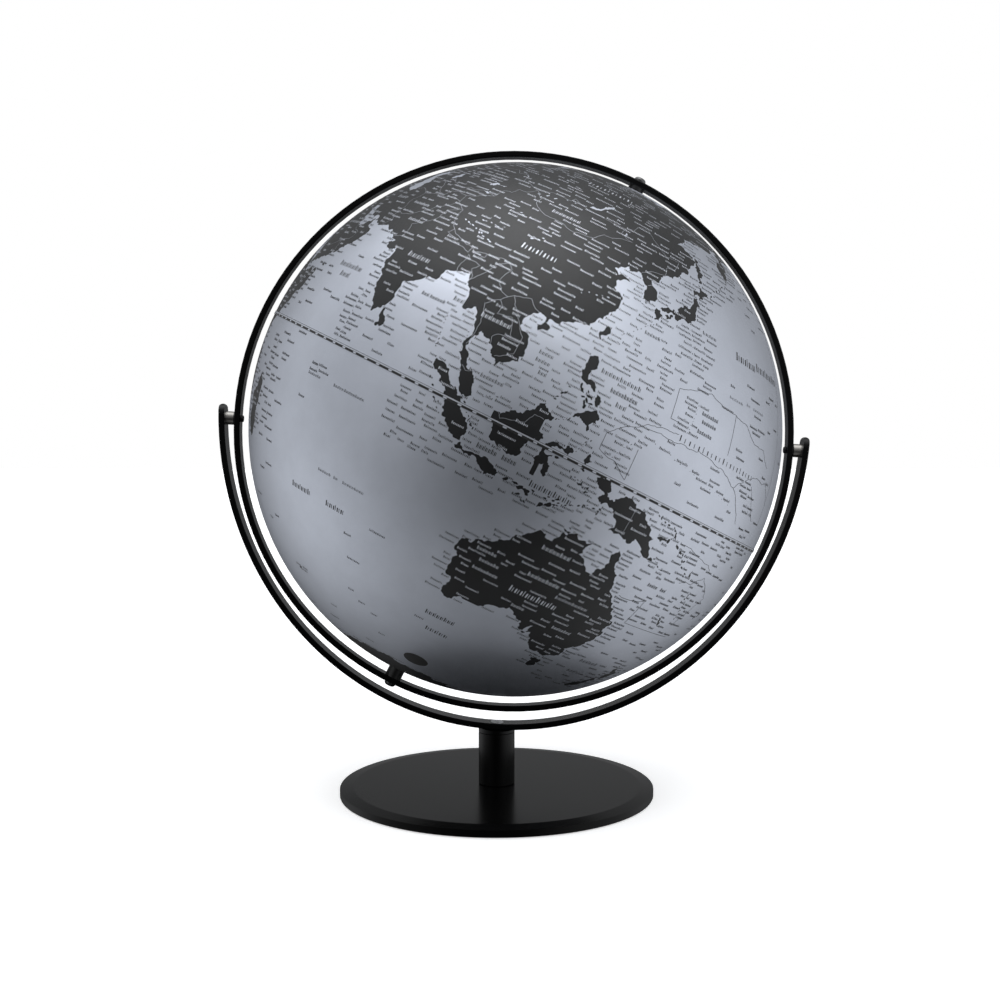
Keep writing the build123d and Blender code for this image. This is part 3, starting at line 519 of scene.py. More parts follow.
# Rows of large marks that stand for names: where each starts (east, north), how many marks, how tall and
# how far apart they are in millimetres.  These are knocked out of the land.
LAND_NAMES = [
    (97, 32.5, 5, 3.5, 4), (76.5, 21, 5, 3, 3), (98.5, 16, 8, 2.5, 2), (96.5, 44.5, 8, 2.5, 2),
    (127.5, -27.5, 9, 3.5, 3), (128.5, -17, 8, 2.5, 2), (129, -23, 9, 2.5, 2), (119, -24.5, 7, 2, 1.5),
    (118.5, -26.5, 9, 2, 1.5), (117.5, -22.5, 7, 2, 1.5), (137, -25, 10, 2, 2), (130, -30.5, 5, 2, 1.5),
    (141.5, -31.5, 8, 2, 1.5), (95, 61.5, 6, 3.5, 4.5), (62, 48.5, 10, 2.5, 2.5), (67.5, 28.5, 8, 2, 1.5),
    (62.5, 33, 9, 2, 1.5), (81, 28, 5, 1.5, 1.5), (100, 19, 4, 1.5, 1.5), (104, 12.5, 7, 1.5, 1),
    (43, 24, 12, 2, 2), (52.5, 33.5, 4, 2.5, 3), (34, 39, 6, 2, 2.5), (20, 47.5, 6, 2, 2.5),
    (16, 14, 4, 2.5, 3), (2, 27, 7, 2.5, 3), (15, 26, 5, 2.5, 3), (27, 26.5, 5, 2.5, 2.5),
    (20, -3, 5, 2.5, 3), (19, -30, 6, 2, 2), (-108, 40, 6, 3.5, 5), (-110, 56, 6, 3.5, 4.5),
    (-60, -10, 6, 3.5, 5), (-66, -35, 9, 2.5, 2), (-104, 24, 6, 2.5, 2.5), (-47, 70, 9, 2.5, 2),
    (-154, 65, 6, 2.5, 2.5), (90, -80, 10, 3, 5), (-3.5, 40, 5, 2, 1.5), (1, 47, 6, 2, 1.5),
]
# The same, printed dark on the sea.
SEA_NAMES = [
    (120.5, -7.5, 9, 3, 2.5), (109, -5.5, 7, 2.5, 1.5), (114, -5.5, 5, 2.5, 1.5), (92, 16.5, 3, 2.5, 2),
    (123.5, 16.5, 11, 2.5, 2), (126.5, 14, 10, 2.5, 1.5), (128.5, 12, 3, 2.5, 2), (104, 6, 8, 2, 1.5),
    (111.5, 14.5, 5, 2, 1.5), (111.5, 13, 5, 2, 1.5), (113, 11, 3, 2, 1.5), (155.5, 33, 5, 4.5, 4),
    (165, 33.5, 7, 4.5, 4.5), (143.5, 12, 10, 3, 6.5), (147, 18.5, 8, 2, 1.5), (147.5, 17, 7, 2, 1.5),
    (147, 15, 7, 2, 1.5), (60.5, 14, 7, 3, 3), (63, 12, 3, 3, 3), (71.5, -29.5, 6, 3, 2.5),
    (83, -29.5, 5, 3, 2.5), (114, -41.5, 8, 3, 2), (116, -46, 5, 3, 2.5), (79.5, -23.5, 6, 1.5, 1.5),
    (84, -23.5, 2, 1.5, 1.5), (86.5, -23.5, 9, 1.5, 1.5), (154, 24.5, 6, 1.5, 2), (160.5, 25, 2, 1.5, 2),
    (163.5, 25, 6, 1.5, 2), (69.5, -7.5, 7, 1.5, 1.5), (73.5, -7.5, 6, 1.5, 1.5), (77.5, -7.5, 5, 1.5, 1.5),
    (80.5, -7.5, 9, 1.5, 1.5), (69.5, -5.5, 5, 1.5, 1), (85.5, 15, 3, 2, 1.5), (87.5, 15, 6, 2, 1.5),
    (143.5, 34, 5, 2, 2), (129, 27.5, 6, 2, 1.5), (153.5, -15, 5, 2, 1.5), (157.5, -15, 3, 2, 1.5),
    (157, -37, 6, 2.5, 2.5), (158, -41, 3, 2.5, 2.5), (40, 78, 6, 2, 2.5), (-45, 30, 8, 3.5, 4.5),
    (-42, 24, 5, 3.5, 4.5), (-30, -20, 8, 3.5, 4.5), (-140, 5, 7, 3.5, 5), (-130, -30, 8, 3.5, 5),
    (-150, 38, 5, 3.5, 5), (-12, -50, 8, 3, 3.5), (30, -50, 8, 3, 3.5), (-78, 15, 9, 2, 2),
    (-92, 25, 4, 2, 2.5), (3, 38.5, 7, 2, 1.5),
]
# Seas that are full of small names: west, east, south and north edges, and how many names are tried there.
BUSY_SEAS = [
    (90, 136, -12, 24, 1500), (143, 172, -24, 0, 260), (118, 146, 22, 44, 260), (132, 178, 2, 30, 60),
    (50, 92, 0, 22, 50), (45, 60, -24, -2, 60), (-92, -58, 9, 28, 260), (-4, 38, 31, 45, 260),
    (-18, 12, 48, 66, 200), (145, 180, -48, -26, 80), (150, 200, 45, 62, 100), (-180, 180, -62, 72, 220),
]
# The middle of the plain round patch in the southern ocean.
CARTOUCHE = (119, -59.5)


def wrapped(east):
    """A difference of longitude, brought between -180 and 180."""
    return (east + 180) % 360 - 180


# The most that a bend stands out, as a share of the stretch that it breaks.
MOST_PUSH = 0.3


def broken_up(points, name, step, roughness, closed):
    """The run with its long stretches broken into small bends, always the same ones for the same name."""
    chance = random.Random(name)
    run = list(points) + ([points[0]] if closed else [])
    grown = True
    while grown:
        longer = [run[0]]
        for (east0, north0), (east1, north1) in zip(run, run[1:]):
            east, north = wrapped(east1 - east0), north1 - north0
            squeeze = math.cos(math.radians((north0 + north1) / 2))
            if math.hypot(east * squeeze, north) > step:
                surveyed = east == 0 or north == 0
                push = 0 if surveyed else max(-MOST_PUSH, min(MOST_PUSH, chance.gauss(0, roughness)))
                middle_east = east0 + east / 2 - push * north / squeeze
                longer.append((middle_east, (north0 + north1) / 2 + push * east * squeeze))
            longer.append((east1, north1))
        grown = len(longer) > len(run)
        run = longer
    return np.array(run[:-1] if closed else run)


# A small island or lake: the corners of its outline, its width as a share of its length, how far it strays
# from its place in the chain as a share of its length, and how far it turns from the chain in radians.
ISLAND_CORNERS = 9
ISLAND_WIDTH = 0.5
ISLAND_STRAY = 0.6
ISLAND_TURN = 0.5


def chain(name, start, end, count, length):
    """Small islands or lakes of uneven size strung out between two places: their names and outlines."""
    chance = random.Random(name)
    found = {}
    for number in range(count):
        share = (number + 0.5) / count
        squeeze = math.cos(math.radians(start[1]))
        stray_east = chance.uniform(-ISLAND_STRAY, ISLAND_STRAY) * length
        stray_north = chance.uniform(-ISLAND_STRAY, ISLAND_STRAY) * length
        middle_east = start[0] + (end[0] - start[0]) * share + stray_east
        middle_north = start[1] + (end[1] - start[1]) * share + stray_north
        lean = math.atan2(end[1] - start[1], end[0] - start[0]) + chance.gauss(0, ISLAND_TURN)
        half = length / 2 * chance.uniform(0.6, 1.3)
        outline = []
        for corner in range(ISLAND_CORNERS):
            turn = math.radians(corner * 360 / ISLAND_CORNERS)
            reach = half * chance.uniform(0.6, 1.1)
            x, y = reach * math.cos(turn), ISLAND_WIDTH * reach * math.sin(turn)
            east = x * math.cos(lean) - y * math.sin(lean)
            north = x * math.sin(lean) + y * math.cos(lean)
            outline.append((middle_east + east / squeeze, middle_north + north))
        found[f"{name} {number}"] = outline
    return found


for number, row in enumerate(ISLAND_CHAINS):
    LAND.update(chain(f"islands {number}", *row))
for number, row in enumerate(LAKE_CHAINS):
    WATER.update(chain(f"lakes {number}", *row))

# The longest straight stretch of coast in degrees, and how uneven the coast is.
COAST_STEP = 0.32
COAST_ROUGHNESS = 0.19
COASTS = {
    name: broken_up(points, name, COAST_STEP, COAST_ROUGHNESS, True)
    for name, points in {**LAND, **WATER}.items()
}


def flattened(longitude, latitude, side):
    """The map drawn flat about the north pole (side 1) or the south pole (side -1); the equator is at 1."""
    away = np.tan(np.radians(90 - side * np.asarray(latitude, float)) / 2)
    turn = np.radians(np.asarray(longitude, float))
    return np.stack([away * np.sin(turn), away * np.cos(turn)], axis=-1)


def within(points, outline):
    """Which of the points lie inside the closed outline."""
    found = np.zeros(len(points), bool)
    near = np.flatnonzero(((points >= outline.min(axis=0)) & (points <= outline.max(axis=0))).all(axis=1))
    if len(near):
        x, y = points[near].T
        odd = np.zeros(len(near), bool)
        for (x0, y0), (x1, y1) in zip(outline, np.roll(outline, -1, axis=0)):
            if y0 != y1:
                crosses = (y0 > y) != (y1 > y)
                odd ^= crosses & (x < (x1 - x0) * (y - y0) / (y1 - y0) + x0)
        found[near] = odd
    return found


def reaches(name, side):
    """True if any of the coast lies on that side of the equator."""
    return (COASTS[name][:, 1] * side).max() > 0


FLAT_COASTS = {
    side: {name: flattened(*coast.T, side) for name, coast in COASTS.items() if reaches(name, side)}
    for side in (1, -1)
}


def on_land(points, side):
    """Which of the points of the flat map are land."""
    land = np.zeros(len(points), bool)
    for name, outline in FLAT_COASTS[side].items():
        if name in LAND:
            land |= within(points, outline)
    for name, outline in FLAT_COASTS[side].items():
        if name in WATER:
            land &= ~within(points, outline)
    return land


def is_land(longitude, latitude):
    """Which of the places, in degrees, are land."""
    longitude, latitude = np.asarray(longitude, float), np.asarray(latitude, float)
    land = np.zeros(len(longitude), bool)
    for side in (1, -1):
        here = latitude * side >= 0
        land[here] = on_land(flattened(longitude[here], latitude[here], side), side)
    return land


# ---------------------------------------------------------------- meshes
def new_piece(name, points, faces, materials, indices=None):
    """A mesh object from points in the row frame, which rides on the ball and is printed like it."""
    mesh = bpy.data.meshes.new(name)
    mesh.from_pydata([tuple(p) for p in points], [], [tuple(int(i) for i in f) for f in faces])
    for material in materials:
        mesh.materials.append(material)
    if indices is not None:
        mesh.polygons.foreach_set("material_index", np.asarray(indices, np.int32))
    mesh.update()
    piece = bpy.data.objects.new(name, mesh)
    bpy.context.scene.collection.objects.link(piece)
    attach(piece, "globe")
    return piece


# The printed face: points this many degrees apart, none nearer than this to a coast, and the points round
# the rim and round the hole at the pole.
GRID_SPACING = 2.0
NEAREST_TO_COAST = 0.6
RIM_POINTS = 720
HOLE_POINTS = 48
# Places nearer together than this on the flat map are one place.
SAME_PLACE = 1e-7


def grid_points(coast_points, side):
    """Evenly spread places between the coasts, so that the printed ball stays round."""
    tree = kdtree.KDTree(len(coast_points))
    for i, (x, y) in enumerate(coast_points):
        tree.insert((x, y, 0), i)
    tree.balance()
    places = []
    for row in range(1, round(88 / GRID_SPACING)):
        latitude = row * GRID_SPACING
        count = max(8, round(360 * math.cos(math.radians(latitude)) / GRID_SPACING))
        longitude = (np.arange(count) + 0.5 * (row % 2)) * 360 / count
        for point in flattened(longitude, np.full(count, side * latitude), side):
            degrees_per_unit = math.degrees(2 / (1 + point @ point))
            if tree.find((*point, 0))[2] * degrees_per_unit > NEAREST_TO_COAST:
                places.append(point)
    return np.array(places)


def hemisphere_map(side):
    """Triangles of the outer face of one half: points on the ball, faces, and which faces are land."""
    rim = flattened(np.arange(RIM_POINTS) * 360 / RIM_POINTS, np.zeros(RIM_POINTS), side)
    hole_latitude = side * (90 - math.degrees(math.asin(POLE_HOLE / BALL_RADIUS)))
    hole = flattened(np.arange(HOLE_POINTS) * 360 / HOLE_POINTS, np.full(HOLE_POINTS, hole_latitude), side)
    loops = [rim, hole, *FLAT_COASTS[side].values()]
    coast_points = np.concatenate(loops)
    edges = []
    start = 0
    for loop in loops:
        edges += [(start + i, start + (i + 1) % len(loop)) for i in range(len(loop))]
        start += len(loop)
    everything = np.concatenate([coast_points, grid_points(coast_points, side)])
    places = [Vector(p) for p in everything]
    flat, _, faces, _, _, _ = geometry.delaunay_2d_cdt(places, edges, [], 0, SAME_PLACE)
    flat = np.array([tuple(p) for p in flat])
    faces = np.array(faces)
    middle = flat[faces].mean(axis=1)
    away = np.hypot(*middle.T)
    hole_radius = np.hypot(*hole[0]) * 0.999
    kept = (away < 1) & (away > hole_radius)
    faces, middle = faces[kept], middle[kept]
    used, faces = np.unique(faces, return_inverse=True)
    faces = faces.reshape(-1, 3)
    flat = flat[used]
    distance = np.hypot(*flat.T)
    latitude = side * (90 - 2 * np.degrees(np.arctan(distance)))
    longitude = np.degrees(np.arctan2(flat[:, 0], flat[:, 1]))
    points = on_ball(longitude, latitude)
    a, b, c = (points[faces[:, i]] for i in range(3))
    inward = (np.cross(b - a, c - a) * (a - BALL_CENTRE)).sum(axis=1) < 0
    faces[inward] = faces[inward][:, ::-1]
    return points, faces, on_land(middle, side)


def boundary_edges(faces):
    """The edges that belong to one face only, in that face's own direction."""
    forward = {(a, b) for f in faces for a, b in zip(f, np.roll(f, -1))}
    return [(a, b) for a, b in forward if (b, a) not in forward]


def printed_half(name, node, side, materials):
    """One half of the ball: the printed outer face, the bare inner face and the rims between them."""
    outer, faces, land = hemisphere_map(side)
    inner = BALL_CENTRE + (outer - BALL_CENTRE) * (1 - SHELL_WALL / BALL_RADIUS)
    count = len(outer)
    rims = [(b, a, a + count, b + count) for a, b in boundary_edges(faces.tolist())]
    all_faces = [*faces.tolist(), *(faces[:, ::-1] + count).tolist(), *rims]
    indices = np.concatenate([land.astype(int), np.full(len(faces) + len(rims), 2)])
    piece = new_piece(name, np.concatenate([outer, inner]), all_faces, materials, indices)
    radial = (outer - BALL_CENTRE) / BALL_RADIUS
    piece.data.shade_smooth()
    piece.data.normals_split_custom_set_from_vertices([tuple(n) for n in np.concatenate([radial, -radial])])
    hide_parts(node)
    return piece


# Painted lines: the longest straight stretch in degrees, how uneven they are, how wide, and how far the paint
# stands off the ball.  Names stand off a little more.
LINE_STEP = 0.6
LINE_ROUGHNESS = 0.06
LINE_WIDTH = 0.00022
LINE_LIFT = 0.00004
NAME_LIFT = 0.00006


def ribbon(run):
    """A thin painted line along a run of places: points and faces."""
    centre = on_ball(*run.T, LINE_LIFT)
    along = np.gradient(centre, axis=0)
    out = centre - BALL_CENTRE
    across = np.cross(along, out)
    across *= LINE_WIDTH / 2 / np.linalg.norm(across, axis=1)[:, None]
    points = np.stack([centre - across, centre + across], axis=1).reshape(-1, 3)
    faces = [(2 * i, 2 * i + 1, 2 * i + 3, 2 * i + 2) for i in range(len(run) - 1)]
    return points, faces


def ribbons(runs, wanted):
    """Thin lines along all the runs, kept only where they are on land or only where they are at sea."""
    points, faces = [], []
    start = 0
    for number, run in enumerate(runs):
        fine = broken_up(run, f"line {number}", LINE_STEP, LINE_ROUGHNESS, False)
        middle = fine[:-1] + (fine[1:] - fine[:-1]) / 2
        kept = is_land(*middle.T) == wanted
        line_points, line_faces = ribbon(fine)
        faces += [tuple(i + start for i in face) for face, keep in zip(line_faces, kept) if keep]
        points.append(line_points)
        start += len(line_points)
    return np.concatenate(points), faces


DEGREES_PER_METRE = math.degrees(1 / BALL_RADIUS)
# Small blocks: the widths they come in, the gap between them, and how low the ones inside a word are.
BLOCK_WIDTHS = (0.0002, 0.0003, 0.0004, 0.0005)
BLOCK_GAP = 0.00044
LOW_BLOCK = 0.7
# Large bars, as shares of the tall ones: how wide the broad and the thin ones are, and how tall the low ones.
BROAD_BAR = 0.2
THIN_BAR = 0.1
LOW_BAR = 0.75
TALL_EVERY = 5
WIDEST_OF_PITCH = 0.3


class Marks:
    """Small upright blocks that stand for printed names."""

    def __init__(self):
        self.corners = []
        self.taken = {}

    def block(self, east, north, x, y, width, height):
        """One block, its lower left corner x and y metres from the place."""
        stretch = DEGREES_PER_METRE / math.cos(math.radians(north))
        for dx, dy in ((0, 0), (width, 0), (width, height), (0, height)):
            self.corners.append((east + (x + dx) * stretch, north + (y + dy) * DEGREES_PER_METRE))

    def room_for(self, east, north, length, height):
        """True if nothing else is written there; the place is then taken."""
        stretch = DEGREES_PER_METRE / math.cos(math.radians(north))
        low, high = north, north + height * DEGREES_PER_METRE
        start, end = east, east + length * stretch
        rows = range(math.floor(low), math.floor(high) + 1)
        for row in rows:
            for other_start, other_low, other_end, other_high in self.taken.get(row, []):
                if start < other_end and other_start < end and low < other_high and other_low < high:
                    return False
        for row in rows:
            self.taken.setdefault(row, []).append((start, low, end, high))
        return True

    def word(self, east, north, sizes, height):
        """A row of close small blocks, one for each width in sizes; the first and the narrowest are tall."""
        x = 0
        for number, width in enumerate(sizes):
            tall = number == 0 or width == BLOCK_WIDTHS[0]
            self.block(east, north, x, 0, width, height if tall else LOW_BLOCK * height)
            x += width + BLOCK_GAP

    def name(self, east, north, count, height, pitch):
        """A row of large evenly spaced bars, broad and thin by turns and of uneven height."""
        for number in range(2 * count):
            width = BROAD_BAR * height if number % 2 == 0 else THIN_BAR * height
            tall = height if number % TALL_EVERY == 0 else LOW_BAR * height
            self.block(east, north, number * pitch / 2, 0, min(width, WIDEST_OF_PITCH * pitch), tall)

    def piece(self, name, material):
        """All the blocks as one piece."""
        corners = np.array(self.corners)
        points = on_ball(*corners.T, NAME_LIFT)
        faces = np.arange(len(corners)).reshape(-1, 4)
        return new_piece(name, points, faces, [material])


SHORTEST_WORD = 5


def word_sizes(chance, longest):
    """The widths of the blocks of one word, in metres, and its whole length."""
    sizes = [chance.choice(BLOCK_WIDTHS) for _ in range(chance.randint(SHORTEST_WORD, longest))]
    return sizes, sum(sizes) + BLOCK_GAP * (len(sizes) - 1)


TEXT_HEIGHT = 0.00135
TAPE_CLEARANCE = 1.1
HIGHEST_NAMES = 78
# A word keeps this clear of a coast, and this much is left free after it and above it.
COAST_MARGIN = 0.0004
SPACE_AFTER = 0.0009
SPACE_ABOVE = 0.0007
# How many places along a word are looked at.
PLACES_ALONG = 7


def wholly(kind, words):
    """Which of the words, each (east, north, sizes, length), are wholly on land, or wholly at sea."""
    east, north, length = (np.array([word[i] for word in words]) for i in (0, 1, 3))
    stretch = DEGREES_PER_METRE / np.cos(np.radians(north))
    share = np.linspace(0, 1, PLACES_ALONG)
    places = east[:, None] + ((length + 2 * COAST_MARGIN)[:, None] * share - COAST_MARGIN) * stretch[:, None]
    heights = np.repeat(north[:, None] + TEXT_HEIGHT / 2 * DEGREES_PER_METRE, len(share), axis=1)
    land = is_land(places.ravel(), heights.ravel()).reshape(places.shape)
    return (land == kind).all(axis=1)


def clear_of_tape(north):
    """True if a name at this latitude is clear of the equator tape and not too near a pole."""
    return TAPE_CLEARANCE < abs(north) < HIGHEST_NAMES


def write_large_names(marks, names):
    """Writes the rows of large bars that have room."""
    for east, north, count, tall, apart in names:
        if marks.room_for(east, north, count * apart / 1000, (tall + 0.5) / 1000):
            marks.name(east, north, count, tall / 1000, apart / 1000)


def write_words(marks, words, kind):
    """Writes the words that lie wholly on land, or wholly at sea, where nothing else is written."""
    for (east, north, sizes, length), fits in zip(words, wholly(kind, words)):
        if fits and marks.room_for(east, north, length + SPACE_AFTER, TEXT_HEIGHT + SPACE_ABOVE):
            marks.word(east, north, sizes, TEXT_HEIGHT)


# How many names are tried on land, the sines of the latitudes between which they lie, and the most blocks.
LAND_TRIES = 11000
LAND_SINES = (-0.7, 0.97)
LONGEST_LAND_WORD = 13
# Names out from the coasts: one at every fourth point, this far from it, and the most blocks.
COAST_EVERY = 4
COAST_GAPS = (0.0007, 0.0012)
LONGEST_COAST_WORD = 11
LONGEST_SEA_WORD = 12


def land_words():
    """Small names all over the land, along the parallels."""
    chance = random.Random("land names")
    words = []
    for _ in range(LAND_TRIES):
        north = math.degrees(math.asin(chance.uniform(*LAND_SINES)))
        east = chance.uniform(-180, 180)
        if clear_of_tape(north):
            words.append((east, north, *word_sizes(chance, LONGEST_LAND_WORD)))
    return words


def sea_words():
    """Small names at sea, running out from the coasts and filling the busy seas."""
    chance = random.Random("sea names")
    words = []
    for name in LAND:
        for east, north in COASTS[name][::COAST_EVERY]:
            sizes, length = word_sizes(chance, LONGEST_COAST_WORD)
            stretch = DEGREES_PER_METRE / math.cos(math.radians(north))
            gap = chance.uniform(*COAST_GAPS)
            if clear_of_tape(north):
                words.append((east + gap * stretch, north, sizes, length))
                words.append((east - (length + gap) * stretch, north, sizes, length))
    chance.shuffle(words)
    for west, east, south, north, count in BUSY_SEAS:
        for _ in range(count):
            place = chance.uniform(west, east), chance.uniform(south, north)
            if clear_of_tape(place[1]):
                words.append((*place, *word_sizes(chance, LONGEST_SEA_WORD)))
    return words


# The round patch: its radius, the faces round it and the rings of faces in it.
CARTOUCHE_RADIUS = 0.00675
CARTOUCHE_FACES = 72
CARTOUCHE_RINGS = 6


def cartouche(material):
    """The plain round patch printed in the southern ocean."""
    count, rings = CARTOUCHE_FACES, CARTOUCHE_RINGS
    turn = np.radians(np.arange(count) * 360 / count)
    east, north = [CARTOUCHE[0]], [CARTOUCHE[1]]
    for ring in range(1, rings + 1):
        reach = CARTOUCHE_RADIUS * ring / rings * DEGREES_PER_METRE
        north += list(CARTOUCHE[1] + reach * np.sin(turn))
        east += list(CARTOUCHE[0] + reach * np.cos(turn) / math.cos(math.radians(CARTOUCHE[1])))
    faces = [(0, 1 + i, 1 + (i + 1) % count) for i in range(count)]
    for ring in range(rings - 1):
        a, b = 1 + ring * count, 1 + (ring + 1) * count
        faces += [(a + i, b + i, b + (i + 1) % count, a + (i + 1) % count) for i in range(count)]
    return new_piece("globe_cartouche", on_ball(east, north, LINE_LIFT), faces, [material])


# The equator tape: faces round it, how far apart the dashes are in faces, the gap below it to the ball, and
# the heights of the edges of its bands as shares of half its width.
TAPE_FACES = 480
DASH_PITCH = 4
TAPE_GAP = 0.00001
TAPE_EDGES = (-1.0, -0.78, 0.0, 0.16, 0.78, 1.0)
TAPE_BANDS = ("line", "dashes", "line", "bare", "line")


def printed_tape(materials):
    """The scale tape round the equator: three thin lines with a row of dashes between the lower two."""
    count = TAPE_FACES
    turn = np.radians(np.arange(count) * 360 / count)
    circle = np.stack([np.sin(turn), -np.cos(turn), np.zeros(count)], axis=-1)
    rows = [TAPE_RADIUS * circle + (0, 0, edge * TAPE_HALF) for edge in TAPE_EDGES]
    rows += [(BALL_RADIUS + TAPE_GAP) * circle + (0, 0, z) for z in (TAPE_HALF, -TAPE_HALF)]
    points = BALL_CENTRE + np.concatenate(rows) @ BALL_AXES.T
    faces, indices = [], []
    for row in range(len(rows)):
        following = (row + 1) % len(rows)
        band = TAPE_BANDS[row] if row < len(TAPE_BANDS) else "bare"
        for i in range(count):
            j = (i + 1) % count
            faces.append((row * count + i, row * count + j, following * count + j, following * count + i))
            dark = band == "line" or (band == "dashes" and i % DASH_PITCH != 0)
            indices.append(int(dark))
    piece = new_piece("equator_tape_print", points, faces, materials, indices)
    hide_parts("equator_tape")
    return piece


# ---------------------------------------------------------------- materials
def set_inputs(node, **values):
    """Sets a node's inputs by name, with _ for each space."""
    for name, value in values.items():
        node.inputs[name.replace("_", " ")].default_value = value


def pattern(tree, scale, detail, stretch=(1, 1, 1)):
    """A noise pattern fixed to the piece; scale is in repeats to the metre."""
    place = tree.nodes.new("ShaderNodeTexCoord")
    mapping = tree.nodes.new("ShaderNodeMapping")
    mapping.inputs["Scale"].default_value = stretch
    tree.links.new(place.outputs["Object"], mapping.inputs["Vector"])
    noise = tree.nodes.new("ShaderNodeTexNoise")
    set_inputs(noise, Scale=scale, Detail=detail, Roughness=0.6)
    tree.links.new(mapping.outputs["Vector"], noise.inputs["Vector"])
    return noise.outputs["Fac"]


def ranged(tree, value, low, high):
    """The pattern's middle range stretched out between two values."""
    node = tree.nodes.new("ShaderNodeMapRange")
    set_inputs(node, From_Min=0.3, From_Max=0.7, To_Min=low, To_Max=high)
    tree.links.new(value, node.inputs["Value"])
    return node.outputs["Result"]


def two_colours(tree, value, first, second):
    """A blend of two colours by the value."""
    node = tree.nodes.new("ShaderNodeMix")
    node.data_type = "RGBA"
    node.inputs["A"].default_value = (*first, 1)
    node.inputs["B"].default_value = (*second, 1)
    tree.links.new(value, node.inputs["Factor"])
    return node.outputs["Result"]


def finish(name, colours, roughness, patch, grain, depth, metal=0.0, stretch=(1, 1, 1), **extra):
    """A surface in two close colours in soft patches, with an uneven shine and a fine grain.
    patch and grain are in repeats to the metre, and depth is the grain's height in metres."""
    material = bpy.data.materials.new(name)
    material.use_nodes = True
    tree = material.node_tree
    shader = tree.nodes["Principled BSDF"]
    patches = ranged(tree, pattern(tree, patch, 3, stretch), 0, 1)
    tree.links.new(two_colours(tree, patches, *colours), shader.inputs["Base Color"])
    fine = pattern(tree, grain, 2, stretch)
    tree.links.new(ranged(tree, fine, *roughness), shader.inputs["Roughness"])
    bump = tree.nodes.new("ShaderNodeBump")
    set_inputs(bump, Strength=0.5, Distance=depth)
    tree.links.new(fine, bump.inputs["Height"])
    tree.links.new(bump.outputs["Normal"], shader.inputs["Normal"])
    set_inputs(shader, Metallic=metal, **extra)
    return material


def grey(value, blue=0.0):
    """A grey, a little bluer where blue is above 0."""
    return (value, value * (1 + blue * 0.3), value * (1 + blue))


SEA = finish("sea_ink", (grey(0.57, 0.18), grey(0.61, 0.18)), (0.36, 0.42), 60, 900, 0.000006, metal=0.85)
LAND_INK = finish("land_ink", (grey(0.003, 0.3), grey(0.006, 0.3)), (0.38, 0.46), 80, 900, 0.000006)
BARE_BOARD = finish("bare_board", ((0.30, 0.26, 0.21), (0.36, 0.31, 0.25)), (0.7, 0.85), 120, 1500, 0.00002)
LIGHT_PRINT = finish(
    "light_print", (grey(0.62, 0.14), grey(0.70, 0.14)), (0.38, 0.45), 200, 2500, 0.000004, metal=0.5
)
BORDER_PRINT = finish(
    "border_print", (grey(0.32, 0.14), grey(0.38, 0.14)), (0.38, 0.45), 200, 2500, 0.000004, metal=0.6
)
DARK_PRINT = finish("dark_print", (grey(0.012), grey(0.02)), (0.42, 0.5), 200, 2500, 0.000004)
TAPE_PAPER = finish(
    "tape_paper", (grey(0.55, 0.16), grey(0.60, 0.16)), (0.38, 0.46), 150, 1800, 0.000006, metal=0.7
)
POWDER = finish(
    "black_powder_coat", (grey(0.0015), grey(0.0025)), (0.18, 0.26), 40, 1300, 0.00001,
    Specular_IOR_Level=0.17,
)
BASE_COAT = finish(
    "black_base_coat", (grey(0.0012), grey(0.0025)), (0.20, 0.25), 30, 700, 0.000003, Specular_IOR_Level=0.1
)
GLOSS_BLACK = finish(
    "black_gloss_plastic", (grey(0.003), grey(0.006)), (0.04, 0.07), 60, 900, 0.000002,
    Specular_IOR_Level=0.8, Coat_Weight=1.0,
)
SATIN_PLASTIC = finish("black_satin_plastic", (grey(0.006), grey(0.01)), (0.28, 0.36), 90, 1200, 0.00001)
BRUSHED = finish(
    "brushed_aluminium", ((0.23, 0.22, 0.21), (0.30, 0.29, 0.27)), (0.24, 0.36), 300, 900, 0.00001,
    metal=1.0, stretch=(0.12, 1, 1),
)
STEEL = finish(
    "screw_steel", (grey(0.85, 0.02), grey(0.95, 0.02)), (0.30, 0.40), 250, 1500, 0.00001, metal=0.6
)
DARK_STEEL = finish(
    "blackened_steel", (grey(0.008), grey(0.014)), (0.28, 0.40), 250, 1500, 0.00001, metal=0.3
)
RUBBER = finish("pad_rubber", (grey(0.02), grey(0.035)), (0.75, 0.9), 150, 1800, 0.00004)
HOOP = finish("hoop_plastic", ((0.62, 0.58, 0.48), (0.70, 0.66, 0.56)), (0.4, 0.5), 90, 900, 0.00001)

NODE_FINISHES = {
    POWDER: ["meridian_ring", "arm", "arm_saddle", "post"],
    BASE_COAT: ["base_plate"],
    RUBBER: ["base_pad"],
    STEEL: ["base_screw", "arm_screw", "axle_rod"],
    BRUSHED: ["pivot_spacer_left", "pivot_spacer_right"],
    SATIN_PLASTIC: [
        "pivot_washer_left", "pivot_washer_right", "north_bush", "south_bush", "north_thrust_washer",
        "south_thrust_washer", "north_pole_bearing", "south_pole_bearing",
    ],
    GLOSS_BLACK: ["north_cap_nut", "south_cap_nut"],
    DARK_STEEL: ["pivot_screw_left", "pivot_screw_right"],
    HOOP: ["equator_joining_hoop"],
}


def paint_nodes():
    """Every CAD node that shows gets its finish."""
    for material, names in NODE_FINISHES.items():
        for name in names:
            mesh = frame["nodes"][name].data
            mesh.materials.clear()
            mesh.materials.append(material)


